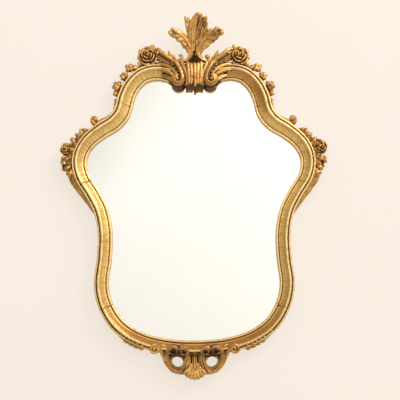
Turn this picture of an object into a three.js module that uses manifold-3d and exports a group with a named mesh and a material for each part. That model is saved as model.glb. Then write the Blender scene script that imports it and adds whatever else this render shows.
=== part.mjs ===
// A carved giltwood overmantel mirror: a cartouche-shaped frame of jointed rails round a mirror glass, with a shell
// and a leafy crest at the top, roses on the arch and the corners, and a pierced apron at the bottom.
// Millimetres. X runs to the right, Z up, and the back of the rails is the plane y = 0, with the front towards -Y.
// The origin is on that plane, level with the pivot of the hanger that it hangs from.
import * as THREE from "three";
import { mergeVertices } from "three/addons/utils/BufferGeometryUtils.js";
import Module from "manifold-3d";

const wasm = await Module();
wasm.setup();

// ---------- Driving dimensions ----------

// Right half of the sight edge, [x, z] from the top centre to the bottom centre. z = 0 is the datum of the arch.
const SIGHT_HALF = [
  [0, -18],
  [48, -13],
  [98, -3.5],
  [124, -10],
  [144, -30],
  [157, -58],
  [163, -84],
  [173, -109],
  [197, -136],
  [234, -159],
  [264, -184],
  [280, -216],
  [276, -252],
  [249, -297],
  [224, -347],
  [212, -410],
  [214, -482],
  [220.5, -541],
  [211, -587],
  [182, -633],
  [134, -664],
  [70, -681],
  [0, -685.5],
];
const PIVOT_ABOVE_DATUM = 14;

// Moulding, seen in section: across from the sight edge, and forward from the back.
const ARCH_WIDTH = 41;
const NECK_WIDTH = 45;
const SIDE_WIDTH = 37;
const MOULDING_DEPTH = 40;
const REBATE_WIDTH = 10;
const REBATE_DEPTH = 11;
const BEAD_WIDTH = 6.5;
const BEAD_FRONT = 22;
const STEP_FRONT = 18.5;
const RIDGE_ACROSS = 25;
const RIDGE_WIDTH = 7;
const GROOVE_ACROSS = 30.5;
const SIDE_UNDERCUT = 3;
// How far these lie behind the ridge.
const GROOVE_DROP = 7;
const OUTER_BEAD_DROP = 4.5;
const OUTER_EDGE_DROP = 11;

// Joints between the rails, as lengths along the sight edge from the top centre.
const NECK_JOINT = 205;
const SHOULDER_JOINT = 450;
const LOWER_JOINT = 790;
const STATION_STEP = 23;
const TONGUE = { width: 16, thick: 5, length: 30, depth: 13 };

// Glass, backboard and the brads that hold them.
const GLASS_THICK = 4;
const BACKBOARD_THICK = 3;
const EDGE_CLEARANCE = 1;
const BRAD = { radius: 0.8, length: 16, inWood: 8, sides: 8 };
const BRADS_PER_HALF = 4;

// Hanger.
const STRAP = { width: 22, height: 16, thick: 1 };
const KNUCKLE = { length: 16, wall: 1, play: 0.3, sides: 12 };
const RING = { wire: 1.25, halfWidth: 13.2, drop: 24, corner: 3, sides: 6, steps: 24 };
const SCREW = { radius: 1.5, head: 3, headHeight: 1.6, length: 10, apart: 13, below: 9, sides: 10 };

// The carvings. Their spines are lists of [x, z, depth], where depth is in front of the moulding's ridge, and negative
// behind it. Some are lists of [length along the sight edge, past the outer edge, depth] instead, and say so.

// Shell cartouche: the fan, the bands that roll out at its top, and the volutes that its outer bands and the
// moulding's own ridge and bead curl into.
const SHELL = {
  x: 3, top: 36, bottom: -25, topHalf: 50, neckHalf: 25, front: 14, back: 15, flutes: 9, flute: 3, tip: 4,
  undercut: 10, rearSlope: 16,
};
const SHELL_BANDS = [
  {
    spine: [[57, 33, -5], [50, 37, 0], [42, 25, 5], [33, 4, 10], [33, -9, 11], [40, -17, 11], [50, -15, 10]],
    radii: [4, 6, 6.5, 6, 5, 4.5, 4],
  },
  { spine: [[39, 35, -1], [34, 37, 5], [26, 17, 11], [20, -9, 14], [20.5, -24, 12]], radii: [4, 5, 5.5, 5, 3] },
  { spine: [[96, 19.5, -4], [70, 14, -1], [50, -1, 5]], radii: [4, 5.5, 4] },
  { spine: [[98, 37, -9], [67, 27.5, -3], [47, 7, 3]], radii: [3, 5.5, 4.5] },
];
const VOLUTE = { x: 43.5, z: -8, radius: 14, back: 15, front: 9, eye: 5 };

// Crest plume.
const STEM_FEET = [
  { spine: [[-30, 49, -4], [-21, 44, -4], [-11, 53, -5], [-6, 78, -4]], radii: [2.5, 4, 5, 5] },
  { spine: [[44, 46, -6], [32, 44, -5], [18, 54, -5], [12, 78, -4]], radii: [2.5, 4, 5, 5] },
];
const PLUME_LEAVES = [
  {
    spine: [[4, 20, -26], [4, 46, -21], [3, 66, -12], [3, 92, -3], [6, 122, 6], [14, 148, 17], [19, 161, 26]],
    halfWidths: [26, 16, 12, 15, 19, 24, 14], thick: 9, lobeDepth: 0.14, steps: 9,
  },
  {
    spine: [[-3, 60, -7], [-16, 82, 1], [-30, 102, 8], [-45, 114, 17], [-58, 110, 23]],
    halfWidths: [9, 12, 14, 15, 9], thick: 6, lobeDepth: 0.22, steps: 7,
  },
  {
    spine: [[12, 60, -7], [26, 81, 1], [42, 100, 8], [58, 113, 17], [69, 111, 23]],
    halfWidths: [9, 13, 17, 18, 12], thick: 6, lobeDepth: 0.22, steps: 7,
  },
  {
    spine: [[-5, 96, -4], [-11, 122, 1], [-16, 146, 7], [-21, 161, 12]],
    halfWidths: [7, 9, 9, 5], thick: 5, lobeDepth: 0.14, steps: 6,
  },
  {
    spine: [[12, 88, 0], [21, 108, 6], [30, 124, 13], [36, 130, 18]],
    halfWidths: [6, 8, 9, 5], thick: 5, lobeDepth: 0.14, steps: 6,
  },
];

// Roses and flowers. Their front is in front of the ridge too.
const ROSE = { x: 121, z: 58, radius: 24, back: 14, front: 10, petals: 5 };
const CORNER_ROSE = { x: 332, z: -190, radius: 19, back: 16, front: 4, petals: 6 };
const LOWER_FLOWER = { x: 331, z: -236, radius: 14, back: 12, front: -4, petals: 5 };
// The branch of a spray: [length along the sight edge, past the outer edge, depth].
const SPRAY_BRANCH = { spine: [[52, 1, -19], [76, 2, -19], [98, 3, -19], [122, 3, -19]], radii: [5, 6, 7, 6] };
const SPRAY_KNOB = { x: 37, z: 55, depth: -4, radius: 7, stem: [[46, 38, -8], [40, 46, -5], [37, 52, -4]], wire: 4.5 };
const SPRAY_LEAVES = [
  { spine: [[108, 74, -5], [96, 74, -2], [78, 59, 0], [60, 44, -3]], halfWidths: [6, 7, 6, 4] },
  { spine: [[55, 37, -17], [59, 50, -12], [65, 71, -5]], halfWidths: [8, 7.5, 2] },
  { spine: [[113, 72, -12], [109, 84, -8], [104, 93, -5]], halfWidths: [9, 7, 2] },
  { spine: [[130, 62, -16], [143, 69, -13], [151, 73, -11]], halfWidths: [10, 7, 3] },
  { spine: [[126, 46, -17], [140, 41, -15], [150, 38, -13]], halfWidths: [8, 7, 3] },
];
// The bank under the corner flowers and the buds on it: [length along the sight edge, past the outer edge, depth].
const CORNER_BANK = {
  spine: [[338, 2, -23], [356, 2, -23], [376, 2, -23], [396, 2, -23], [414, 2, -23]], radii: [5, 9, 11, 12, 8],
};
const CORNER_BUDS = [
  { at: [345, 6, -13], radius: 6.5 },
  { at: [359, 8, -13], radius: 7.5 },
  { at: [374, 12, -13], radius: 8 },
];
const TAPER_LEAF = { from: 424, to: 540, half: 17, tip: 2, inset: 6, back: 7, crest: -13, fall: 5, roll: 2 };
const SHOULDER_SCROLL = { x: 259, z: -111, radius: 10.5, wire: 3.6, depth: -14 };
const SHOULDER_FOOT = { spine: [[247, -123, -18], [255, -123, -16], [266, -118, -14]], radii: [4, 5, 4] };
// Husks point out from the moulding's outer edge: where along it, their reach, size and lean.
const HUSKS = [
  { name: "upper_husk", along: 131, reach: 25, radius: 6, lean: 13 },
  { name: "middle_husk", along: 153, reach: 18, radius: 8, lean: -2 },
  { name: "lower_husk", along: 178, reach: 13, radius: 11, lean: 2 },
];
const HUSK_DEPTH = { root: -25, middle: -21, end: -16, petal: 5 };

// Apron: bands with a flat back, the volute, the stalk and the fan. The right half.
const BAND_RISE = 5;
const BAND_BACK = 12;
const APRON_BANDS = [
  {
    spine: [
      [91, -697, -3], [85, -704, -3], [80, -716, -6], [72.5, -738, -11],
      [62.5, -752, -14], [48.5, -761.5, -16], [34, -764.5, -16], [20, -762, -14],
    ],
    halves: [4, 5, 5.8, 6.2, 6.4, 6.4, 5.8, 4.5], steps: 8,
  },
  {
    spine: [
      [46, -710, -3], [57.5, -702, -2], [66, -709, -4], [68, -735, -10], [60, -749.5, -12], [46.5, -759, -13],
      [31.5, -757, -12], [20, -745, -9], [17.5, -731, -6], [20, -714, -3], [29, -704.5, -1], [35, -709, -1],
    ],
    halves: [4, 4.6, 5.2, 6.2, 6.4, 6.6, 7.2, 8.8, 9.2, 7.6, 5.2, 4], steps: 14,
  },
];
const APRON_STALK = {
  spine: [[0, -704, -4], [0, -722, -6], [0, -746, -9], [0, -768, -10]], halves: [6, 6.5, 7.5, 9], steps: 3,
};
const APRON_VOLUTE = { x: 101.5, z: -704.5, radius: 8.5, wire: 4.2, drum: 12.5, back: 8, front: -3 };
const FAN = { half: 28, top: -750, bottom: -785, ribs: 6, rib: 3, back: 9, front: -11, bow: 6, lift: 9 };
const BEAD_TRAIL = {
  from: 842, to: 914, beads: 6, across: 35, spread: 3, depth: -8.5, thread: 5.8, bead: 4.4, inset: 3, rise: 6.5,
};

const FIT_GAP = 0.3; // left between pieces that touch

// ---------- Materials ----------

const gilt = () => new THREE.MeshStandardMaterial({ color: 0xd2a860, roughness: 0.38, metalness: 0.85 });
const wood = () => new THREE.MeshStandardMaterial({ color: 0xb98f5c, roughness: 0.75, metalness: 0 });
const silvered = () => new THREE.MeshStandardMaterial({ color: 0xf0f2f0, roughness: 0.03, metalness: 1 });
const board = () => new THREE.MeshStandardMaterial({ color: 0x7d5c3a, roughness: 0.85, metalness: 0 });
const steel = () => new THREE.MeshStandardMaterial({ color: 0x9a9a98, roughness: 0.4, metalness: 1 });
const brass = () => new THREE.MeshStandardMaterial({ color: 0xb8923f, roughness: 0.35, metalness: 1 });

// ---------- Solid helpers ----------

// A point from its place in the front view and its distance in front of the back.
const place = (x, z, depth) => new THREE.Vector3(x, -depth, z);

// Turns a closed geometry's faces out if they point in.
function facingOut(geometry) {
  const p = geometry.getAttribute("position");
  const index = geometry.index.array;
  let volume = 0;
  const [a, b, c] = [new THREE.Vector3(), new THREE.Vector3(), new THREE.Vector3()];
  for (let i = 0; i < index.length; i += 3) {
    a.fromBufferAttribute(p, index[i]);
    b.fromBufferAttribute(p, index[i + 1]);
    c.fromBufferAttribute(p, index[i + 2]);
    volume += a.dot(b.cross(c));
  }
  if (volume < 0) for (let i = 0; i < index.length; i += 3) [index[i], index[i + 1]] = [index[i + 1], index[i]];
  return geometry;
}

// A skin through rings of points, the same number in each. It closes on its first ring, or has a fan at each end.
function skin(rings, closesOnItself = false) {
  const across = rings[0].length;
  const points = rings.flat();
  const index = [];
  const at = (ring, i) => (ring % rings.length) * across + (i % across);
  for (let r = 0; r < rings.length - (closesOnItself ? 0 : 1); r++)
    for (let i = 0; i < across; i++) {
      index.push(at(r, i), at(r, i + 1), at(r + 1, i));
      index.push(at(r, i + 1), at(r + 1, i + 1), at(r + 1, i));
    }
  if (!closesOnItself)
    for (const [ring, turn] of [[0, 1], [rings.length - 1, 0]]) {
      for (const [i, j, k] of endCap(rings[ring]))
        index.push(...(turn ? [at(ring, i), at(ring, k), at(ring, j)] : [at(ring, i), at(ring, j), at(ring, k)]));
    }
  const geometry = new THREE.BufferGeometry().setFromPoints(points);
  geometry.setIndex(index);
  return facingOut(geometry);
}

// Triangles over a flat ring, which may be hollow in outline.
function endCap(ring) {
  const normal = new THREE.Vector3();
  ring.forEach((point, i) => normal.add(point.clone().cross(ring[(i + 1) % ring.length])));
  const u = ring[1].clone().sub(ring[0]).normalize();
  const v = normal.normalize().clone().cross(u).normalize();
  const flat = ring.map((point) => new THREE.Vector2(point.dot(u), point.dot(v)));
  return THREE.ShapeUtils.triangulateShape(flat, []);
}

const solidOf = (geometry) => {
  const bare = new THREE.BufferGeometry().setAttribute("position", geometry.getAttribute("position").clone());
  if (geometry.index) bare.setIndex(geometry.index);
  const merged = mergeVertices(bare, 1e-4);
  const vertProperties = new Float32Array(merged.getAttribute("position").array);
  return new wasm.Manifold(
    new wasm.Mesh({ numProp: 3, vertProperties, triVerts: new Uint32Array(merged.index.array) }),
  );
};

function geometryOf(solid) {
  const mesh = solid.getMesh();
  const geometry = new THREE.BufferGeometry();
  geometry.setAttribute("position", new THREE.BufferAttribute(new Float32Array(mesh.vertProperties), 3));
  geometry.setIndex([...mesh.triVerts]);
  return geometry;
}

// Solids joined into one carving.
const joined = (...parts) => geometryOf(parts.map(solidOf).reduce((whole, part) => whole.add(part)));

// What is left of a piece after the cuts, without the offcuts.
function cut(piece, ...tools) {
  const left = tools.map(solidOf).reduce((rest, tool) => rest.subtract(tool), solidOf(piece));
  const bodies = left.decompose();
  return geometryOf(bodies.reduce((best, body) => (body.volume() > best.volume() ? body : best)));
}

// The same piece on the other side of the mirror's middle.
function mirrored(geometry) {
  const other = geometry.clone().applyMatrix4(new THREE.Matrix4().makeScale(-1, 1, 1));
  return facingOut(other);
}

// ---------- The frame's outline and section ----------

function sightCurve() {
  const right = SIGHT_HALF.map(([x, z]) => place(x, z, 0));
  const left = SIGHT_HALF.slice(1, -1).reverse().map(([x, z]) => place(-x, z, 0));
  const curve = new THREE.CatmullRomCurve3([...right, ...left], true, "centripetal");
  curve.arcLengthDivisions = 2000;
  return curve;
}
const SIGHT = sightCurve();
const LOOP = SIGHT.getLength();

// The moulding is widest on the neck.
function widthAt(along) {
  const fromTop = Math.min(along, LOOP - along);
  const toNeck = THREE.MathUtils.smoothstep(fromTop, NECK_JOINT / 2, NECK_JOINT);
  const toSide = THREE.MathUtils.smoothstep(fromTop, NECK_JOINT, SHOULDER_JOINT);
  return ARCH_WIDTH + (NECK_WIDTH - ARCH_WIDTH) * toNeck + (SIDE_WIDTH - NECK_WIDTH) * toSide;
}

// The point, the outward direction and the width of the moulding at a length along the sight edge.
function stationAt(along) {
  const share = THREE.MathUtils.euclideanModulo(along, LOOP) / LOOP;
  const point = SIGHT.getPointAt(share);
  const tangent = SIGHT.getTangentAt(share);
  const outward = new THREE.Vector3(-tangent.z, 0, tangent.x);
  return { point, tangent, outward, width: widthAt(share * LOOP) };
}

// A point of the moulding at a station: across from the sight edge, forward from the back.
const onStation = ({ point, outward }, across, depth) =>
  point.clone().addScaledVector(outward, across).setY(-depth);

// A point beyond the moulding's outer edge.
function pastEdge(along, out, depth) {
  const station = stationAt(along);
  return onStation(station, station.width + out, depth);
}

// The moulding's section, [across, depth], for a width.
function section(width) {
  const wide = width / SIDE_WIDTH;
  const [ridge, groove] = [RIDGE_ACROSS * wide, GROOVE_ACROSS * wide];
  const half = (RIDGE_WIDTH * wide) / 2;
  const cove = ridge - half - BEAD_WIDTH;
  const rise = MOULDING_DEPTH - STEP_FRONT;
  return [
    [0, REBATE_DEPTH],
    [0, STEP_FRONT],
    [BEAD_WIDTH * 0.25, BEAD_FRONT - 0.4],
    [BEAD_WIDTH * 0.75, BEAD_FRONT - 0.4],
    [BEAD_WIDTH, STEP_FRONT],
    [BEAD_WIDTH + cove * 0.4, STEP_FRONT + rise * 0.18],
    [BEAD_WIDTH + cove * 0.85, STEP_FRONT + rise * 0.68],
    [ridge - half, MOULDING_DEPTH - 2.5],
    [ridge - half * 0.3, MOULDING_DEPTH],
    [ridge + half * 0.5, MOULDING_DEPTH - 1],
    [groove, MOULDING_DEPTH - GROOVE_DROP],
    [groove + (width - groove) * 0.35, MOULDING_DEPTH - OUTER_BEAD_DROP],
    [groove + (width - groove) * 0.75, MOULDING_DEPTH - OUTER_BEAD_DROP - 1],
    [width, MOULDING_DEPTH - OUTER_EDGE_DROP],
    [width - SIDE_UNDERCUT, 0],
    [REBATE_WIDTH, 0],
    [REBATE_WIDTH, REBATE_DEPTH],
  ];
}

// The section grown outwards all round, which leaves the fit gap to what is cut by it.
function grownSection(width) {
  const points = section(width).map(([across, depth]) => new THREE.Vector2(across, depth));
  const normalOf = (from, to) => new THREE.Vector2(from.y - to.y, to.x - from.x).normalize();
  return points.map((point, i) => {
    const before = normalOf(points.at(i - 1), point);
    const after = normalOf(point, points[(i + 1) % points.length]);
    const out = before.clone().add(after).multiplyScalar(FIT_GAP / (1 + before.dot(after)));
    return [point.x + out.x, point.y + out.y];
  });
}

const sectionRing = (station, outline) => outline.map(([across, depth]) => onStation(station, across, depth));

// Even stations of a rail between two joints, each end held back by half the fit gap.
function railStations(from, to) {
  const steps = Math.max(1, Math.round((to - from) / STATION_STEP));
  const [start, end] = [from + FIT_GAP / 2, to - FIT_GAP / 2];
  return Array.from({ length: steps + 1 }, (_, i) => stationAt(start + ((end - start) * i) / steps));
}

const RAILS = [
  { name: "upper_rail_right", from: 0, to: NECK_JOINT },
  { name: "shoulder_rail_right", from: NECK_JOINT, to: SHOULDER_JOINT },
  { name: "side_rail_right", from: SHOULDER_JOINT, to: LOWER_JOINT },
  { name: "bottom_rail", from: LOWER_JOINT, to: LOOP - LOWER_JOINT },
  { name: "side_rail_left", from: LOOP - LOWER_JOINT, to: LOOP - SHOULDER_JOINT },
  { name: "shoulder_rail_left", from: LOOP - SHOULDER_JOINT, to: LOOP - NECK_JOINT },
  { name: "upper_rail_left", from: LOOP - NECK_JOINT, to: LOOP },
];
const JOINTS = [
  { name: "top_tongue", at: 0 },
  { name: "neck_tongue_right", at: NECK_JOINT },
  { name: "shoulder_tongue_right", at: SHOULDER_JOINT },
  { name: "lower_tongue_right", at: LOWER_JOINT },
  { name: "lower_tongue_left", at: LOOP - LOWER_JOINT },
  { name: "shoulder_tongue_left", at: LOOP - SHOULDER_JOINT },
  { name: "neck_tongue_left", at: LOOP - NECK_JOINT },
];

// The whole moulding with the fit gap round it. Every carving that seats on the frame is cut by it.
function mouldingEnvelope() {
  const stations = RAILS.flatMap(({ from, to }) => railStations(from, to));
  return skin(stations.map((station) => sectionRing(station, grownSection(station.width))), true);
}
const ENVELOPE = mouldingEnvelope();
const seated = (carving) => cut(carving, ENVELOPE);

// A box across a joint between two rails, grown on every side.
function tongueBox({ at }, grow) {
  const station = stationAt(at);
  const box = new THREE.BoxGeometry(TONGUE.length + 2 * grow, TONGUE.thick + 2 * grow, TONGUE.width + 2 * grow);
  const basis = new THREE.Matrix4().makeBasis(station.tangent, new THREE.Vector3(0, 1, 0), station.outward);
  const middle = (REBATE_WIDTH + station.width - SIDE_UNDERCUT) / 2;
  basis.setPosition(onStation(station, middle, TONGUE.depth + TONGUE.thick / 2));
  box.applyMatrix4(basis);
  return facingOut(mergeVertices(new THREE.BufferGeometry()
    .setAttribute("position", box.getAttribute("position")).setIndex(box.index)));
}

// A round bar from one point to another.
function bar(from, to, radius, sides) {
  const along = to.clone().sub(from);
  const geometry = new THREE.CylinderGeometry(radius, radius, along.length(), sides);
  geometry.applyQuaternion(
    new THREE.Quaternion().setFromUnitVectors(new THREE.Vector3(0, 1, 0), along.clone().normalize()),
  );
  geometry.translate(...from.clone().lerp(to, 0.5).toArray());
  return geometry;
}

// ---------- Rails, glass, backboard, brads ----------

const backboardBack = REBATE_DEPTH - FIT_GAP - GLASS_THICK - FIT_GAP - BACKBOARD_THICK;
const bradDepth = backboardBack - FIT_GAP - BRAD.radius;

// Lengths along the sight edge where brads go in, between the joints on both halves.
function bradPlaces() {
  const spacing = LOOP / 2 / BRADS_PER_HALF;
  const right = Array.from({ length: BRADS_PER_HALF }, (_, i) => spacing * (i + 0.5));
  return [...right, ...right.map((along) => LOOP - along).reverse()];
}

function bradBar(along, grow) {
  const station = stationAt(along);
  const tip = REBATE_WIDTH + BRAD.inWood;
  return bar(
    onStation(station, tip - BRAD.length - grow, bradDepth),
    onStation(station, tip + grow, bradDepth),
    BRAD.radius + grow,
    BRAD.sides,
  );
}

const screwX = (side) => (side * SCREW.apart) / 2;
const screwZ = PIVOT_ABOVE_DATUM - SCREW.below;
const screwHole = (side) =>
  bar(
    place(screwX(side), screwZ, -1),
    place(screwX(side), screwZ, SCREW.length),
    SCREW.radius + FIT_GAP,
    SCREW.sides,
  );

function rail({ from, to }) {
  const body = skin(railStations(from, to).map((station) => sectionRing(station, section(station.width))));
  const slots = JOINTS.map((joint) => tongueBox(joint, FIT_GAP));
  const bradHoles = bradPlaces().map((along) => bradBar(along, FIT_GAP));
  return cut(body, ...slots, ...bradHoles, screwHole(-1), screwHole(1));
}

// A flat sheet in the rebate, from one distance in front of the back to another.
function rebateSheet(back, front) {
  const stations = RAILS.flatMap(({ from, to }) => railStations(from, to).slice(0, -1));
  const edge = REBATE_WIDTH - EDGE_CLEARANCE;
  const ring = (depth) => stations.map((station) => onStation(station, edge, depth));
  return skin([ring(back), ring(front)]);
}

// ---------- Hanger ----------

const strapFront = FIT_GAP + STRAP.thick;
const knuckleRadius = RING.wire + KNUCKLE.play + KNUCKLE.wall;
const pivotBehindBack = FIT_GAP + knuckleRadius;

// A ring of points round a direction.
function roundSection(centre, across, up, radius, sides) {
  return Array.from({ length: sides }, (_, i) => {
    const angle = (2 * Math.PI * i) / sides;
    return centre
      .clone()
      .addScaledVector(across, radius * Math.cos(angle))
      .addScaledVector(up, radius * Math.sin(angle));
  });
}

// The strap lies on the back of the rails and is folded round the ring's bar at its top edge.
function hangerStrap() {
  const plate = new THREE.BoxGeometry(STRAP.width, STRAP.thick, STRAP.height);
  plate.translate(0, FIT_GAP + STRAP.thick / 2, PIVOT_ABOVE_DATUM - STRAP.height / 2);
  const pivot = place(0, PIVOT_ABOVE_DATUM, -pivotBehindBack);
  const half = new THREE.Vector3(KNUCKLE.length / 2, 0, 0);
  const tube = bar(pivot.clone().sub(half), pivot.clone().add(half), knuckleRadius, KNUCKLE.sides);
  const past = new THREE.Vector3(STRAP.width, 0, 0);
  const bore = bar(pivot.clone().sub(past), pivot.clone().add(past), RING.wire + KNUCKLE.play, KNUCKLE.sides);
  const holes = [-1, 1].map((side) =>
    bar(
      place(screwX(side), screwZ, 1),
      place(screwX(side), screwZ, -2 * STRAP.thick - 1),
      SCREW.radius + FIT_GAP,
      SCREW.sides,
    ),
  );
  return cut(joined(plate, tube), bore, ...holes);
}

// A D-shaped ring that hangs down from its straight bar.
function hangerRing() {
  const { halfWidth, drop, corner } = RING;
  const bend = drop - halfWidth;
  const outline = new THREE.Path();
  outline.moveTo(0, 0);
  outline.lineTo(halfWidth - corner, 0);
  outline.absarc(halfWidth - corner, -corner, corner, Math.PI / 2, 0, true);
  outline.lineTo(halfWidth, -bend);
  outline.absarc(0, -bend, halfWidth, 0, -Math.PI, true);
  outline.lineTo(-halfWidth, -corner);
  outline.absarc(-halfWidth + corner, -corner, corner, Math.PI, Math.PI / 2, true);
  outline.lineTo(0, 0);
  const points = outline.getSpacedPoints(RING.steps).slice(0, -1);
  const along = (i) => points[(i + points.length) % points.length];
  const rings = points.map((point, i) => {
    const tangent = along(i + 1).clone().sub(along(i - 1)).normalize();
    const across = new THREE.Vector3(-tangent.y, 0, tangent.x);
    const centre = place(point.x, PIVOT_ABOVE_DATUM + point.y, -pivotBehindBack);
    return roundSection(centre, across, new THREE.Vector3(0, 1, 0), RING.wire, RING.sides);
  });
  return skin(rings, true);
}

function hangerScrew(side) {
  const [x, z] = [screwX(side), screwZ];
  const headBack = -(strapFront + FIT_GAP);
  const head = bar(place(x, z, headBack), place(x, z, headBack - SCREW.headHeight), SCREW.head, SCREW.sides);
  const shank = bar(place(x, z, headBack - 0.5), place(x, z, SCREW.length - 1), SCREW.radius, SCREW.sides);
  return joined(head, shank);
}

// ---------- Carving helpers ----------

const FORWARD = new THREE.Vector3(0, -1, 0);

// The value at a share of the way through a list, eased from one entry to the next.
function through(list, share) {
  const place01 = share * (list.length - 1);
  const i = Math.min(Math.floor(place01), list.length - 2);
  return THREE.MathUtils.lerp(list[i], list[i + 1], place01 - i);
}

// A curved frame along a spine: point, direction, the side and the way the front faces.
function framesAlong(spine, steps) {
  const curve = new THREE.CatmullRomCurve3(spine);
  return Array.from({ length: steps + 1 }, (_, i) => {
    const share = i / steps;
    const tangent = curve.getTangentAt(share);
    const sideways = new THREE.Vector3().crossVectors(tangent, FORWARD).normalize();
    const front = new THREE.Vector3().crossVectors(sideways, tangent).normalize();
    return { share, point: curve.getPointAt(share), sideways, front };
  });
}

// Points from lists of [x, z, depth from the ridge], and from lists of [length, past the outer edge, depth].
const onRelief = (x, z, depth) => place(x, z, MOULDING_DEPTH + depth);
const relief = (spine, side = 1) => spine.map(([x, z, depth]) => onRelief(side * x, z, depth));
const alongEdge = (spine) => spine.map(([along, out, depth]) => pastEdge(along, out, MOULDING_DEPTH + depth));

// A tapering leaf with a rib down each half: half widths along the spine, a thickness, and a lobed edge.
function leaf({ spine, halfWidths, thick = 5, lobes = 3, lobeDepth = 0.14, curl = 0.15, steps = 9 }) {
  const front = [[-0.62, 1], [-0.3, 0.45], [0, 0.8], [0.3, 0.45], [0.62, 1]];
  const rings = framesAlong(spine, steps).map(({ share, point, sideways, front: facing }) => {
    const lobe = 1 - lobeDepth * Math.abs(Math.cos(Math.PI * lobes * share));
    const half = through(halfWidths, share) * lobe;
    const deep = thick * Math.min(1, half / thick);
    const at = (across, rise) =>
      point
        .clone()
        .addScaledVector(sideways, across * half)
        .addScaledVector(facing, rise * deep + curl * half * across * across);
    return [
      at(-1, 0),
      ...front.map(([across, rise]) => at(across, rise)),
      at(1, 0),
      at(0.5, -0.7),
      at(-0.5, -0.7),
    ];
  });
  return skin(rings);
}

// A round stem whose radius changes along its spine.
function stem(spine, radii, steps = 8, sides = 7) {
  const rings = framesAlong(spine, steps).map(({ share, point, sideways, front }) =>
    roundSection(point, sideways, front, through(radii, share), sides),
  );
  return skin(rings);
}

// A carved band with a raised rim down each side and a flat back, half widths along its spine.
function band({ spine, halves, steps }, side = 1) {
  const outline = [[-1, 0], [-0.7, 1], [0, 0.6], [0.7, 1], [1, 0]];
  const rings = framesAlong(relief(spine, side), steps).map(({ share, point, sideways, front: facing }) => {
    const half = through(halves, share);
    const at = (across, rise) =>
      point.clone().addScaledVector(sideways, across * half).addScaledVector(facing, rise);
    const front = outline.map(([across, rise]) => at(across, rise * BAND_RISE));
    return [...front, at(0.9, -BAND_BACK), at(-0.9, -BAND_BACK)];
  });
  return skin(rings);
}

// A turned solid about a line that runs forwards: radii and depths from back to front, lobed like petals.
function rosette({ x, z }, outline, petals, lobeDepth, segments) {
  const rings = outline.map(([radius, depth, turn = 0, lobed = 1]) =>
    Array.from({ length: segments }, (_, i) => {
      const angle = (2 * Math.PI * i) / segments;
      const wave = Math.abs(Math.cos((petals / 2) * (angle + turn)));
      const reach = radius * (1 - lobed * lobeDepth * (1 - wave));
      return place(x + reach * Math.cos(angle), z + reach * Math.sin(angle), depth);
    }),
  );
  return skin(rings);
}

// An open rose: two rows of petals round a hollow with a bud in it.
function rose({ x, z, radius, back, front, petals }) {
  const deep = MOULDING_DEPTH + front - back;
  const shift = Math.PI / petals;
  const outline = [
    [radius * 0.55, back, 0, 0],
    [radius * 0.8, back + deep * 0.15],
    [radius, back + deep * 0.5],
    [radius * 0.72, back + deep * 0.55],
    [radius * 0.7, back + deep * 0.86, shift],
    [radius * 0.6, back + deep * 0.92, shift],
    [radius * 0.42, back + deep * 0.72, shift],
    [radius * 0.36, back + deep, 0, 0],
    [radius * 0.14, back + deep * 0.94, 0, 0],
  ];
  return rosette({ x, z }, outline, petals, 0.3, petals * 2);
}

// A round bud or bead.
function bud(x, z, depth, radius) {
  const geometry = new THREE.SphereGeometry(radius, 7, 4);
  geometry.rotateX(Math.PI / 2);
  geometry.translate(x, -depth, z);
  return geometry;
}

// A scroll that winds in from a start angle, with a ball for its eye.
function scroll({ x, z, radius, wire }, depth, startAngle, turns, steps = 9) {
  const spine = Array.from({ length: steps + 1 }, (_, i) => {
    const share = i / steps;
    const angle = startAngle + share * turns * 2 * Math.PI;
    const reach = radius * (1 - 0.62 * share);
    return place(x + reach * Math.cos(angle), z + reach * Math.sin(angle), depth + share * wire * 0.4);
  });
  return [stem(spine, [wire, wire, wire * 0.8, wire * 0.6], steps, 5), bud(x, z, depth + wire * 0.3, wire * 1.1)];
}

// ---------- Shell cartouche ----------

function shellFan() {
  const { x, top, bottom, topHalf, neckHalf, front, back, flutes, flute, tip, undercut, rearSlope } = SHELL;
  const columns = flutes * 2;
  const rows = 4;
  const rings = Array.from({ length: rows + 1 }, (_, r) => {
    const down = r / rows;
    const half = neckHalf + (topHalf - neckHalf) * (1 - down) ** 1.8;
    const height = top + (bottom - top) * down;
    const belly = MOULDING_DEPTH + front + flute * Math.sin(Math.PI * down);
    const ring = Array.from({ length: columns + 1 }, (_, c) => {
      const across = (2 * c) / columns - 1;
      const crest = c % 2 ? flute : -flute;
      const drop = down === 1 && c % 2 ? tip * (2 - Math.abs(across)) : 0;
      const sag = (bottom / 5) * across * across * (1 - down);
      return place(x + half * across, height + sag - drop, belly - neckHalf * 0.5 * across * across + crest * 0.7);
    });
    const rearZ = height + undercut * (r === 0 ? -0.4 : down);
    const rear = back + rearSlope * (1 - down);
    return [...ring, place(x + half, rearZ, rear), place(x - half, rearZ, rear)];
  });
  return skin(rings);
}

function shellCartouche() {
  const sides = [-1, 1].flatMap((side) => {
    const [x, z] = [SHELL.x + side * VOLUTE.x, VOLUTE.z];
    const front = MOULDING_DEPTH + VOLUTE.front;
    const drum = bar(place(x, z, VOLUTE.back), place(x, z, front), VOLUTE.radius, 12);
    const bands = SHELL_BANDS.map(({ spine, radii }) =>
      stem(relief(spine, side).map((point) => point.setX(point.x + SHELL.x)), radii, spine.length + 1, 5),
    );
    return [drum, bud(x, z, front, VOLUTE.eye), ...bands];
  });
  return seated(joined(shellFan(), ...sides));
}

// ---------- Crest plume ----------

function crestPlume() {
  const leaves = PLUME_LEAVES.map((shape) => leaf({ ...shape, spine: relief(shape.spine), lobes: 3 }));
  const feet = STEM_FEET.map(({ spine, radii }) => stem(relief(spine), radii, 5, 5));
  return seated(joined(...leaves, ...feet));
}

// ---------- Rose sprays on the arch ----------

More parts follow.
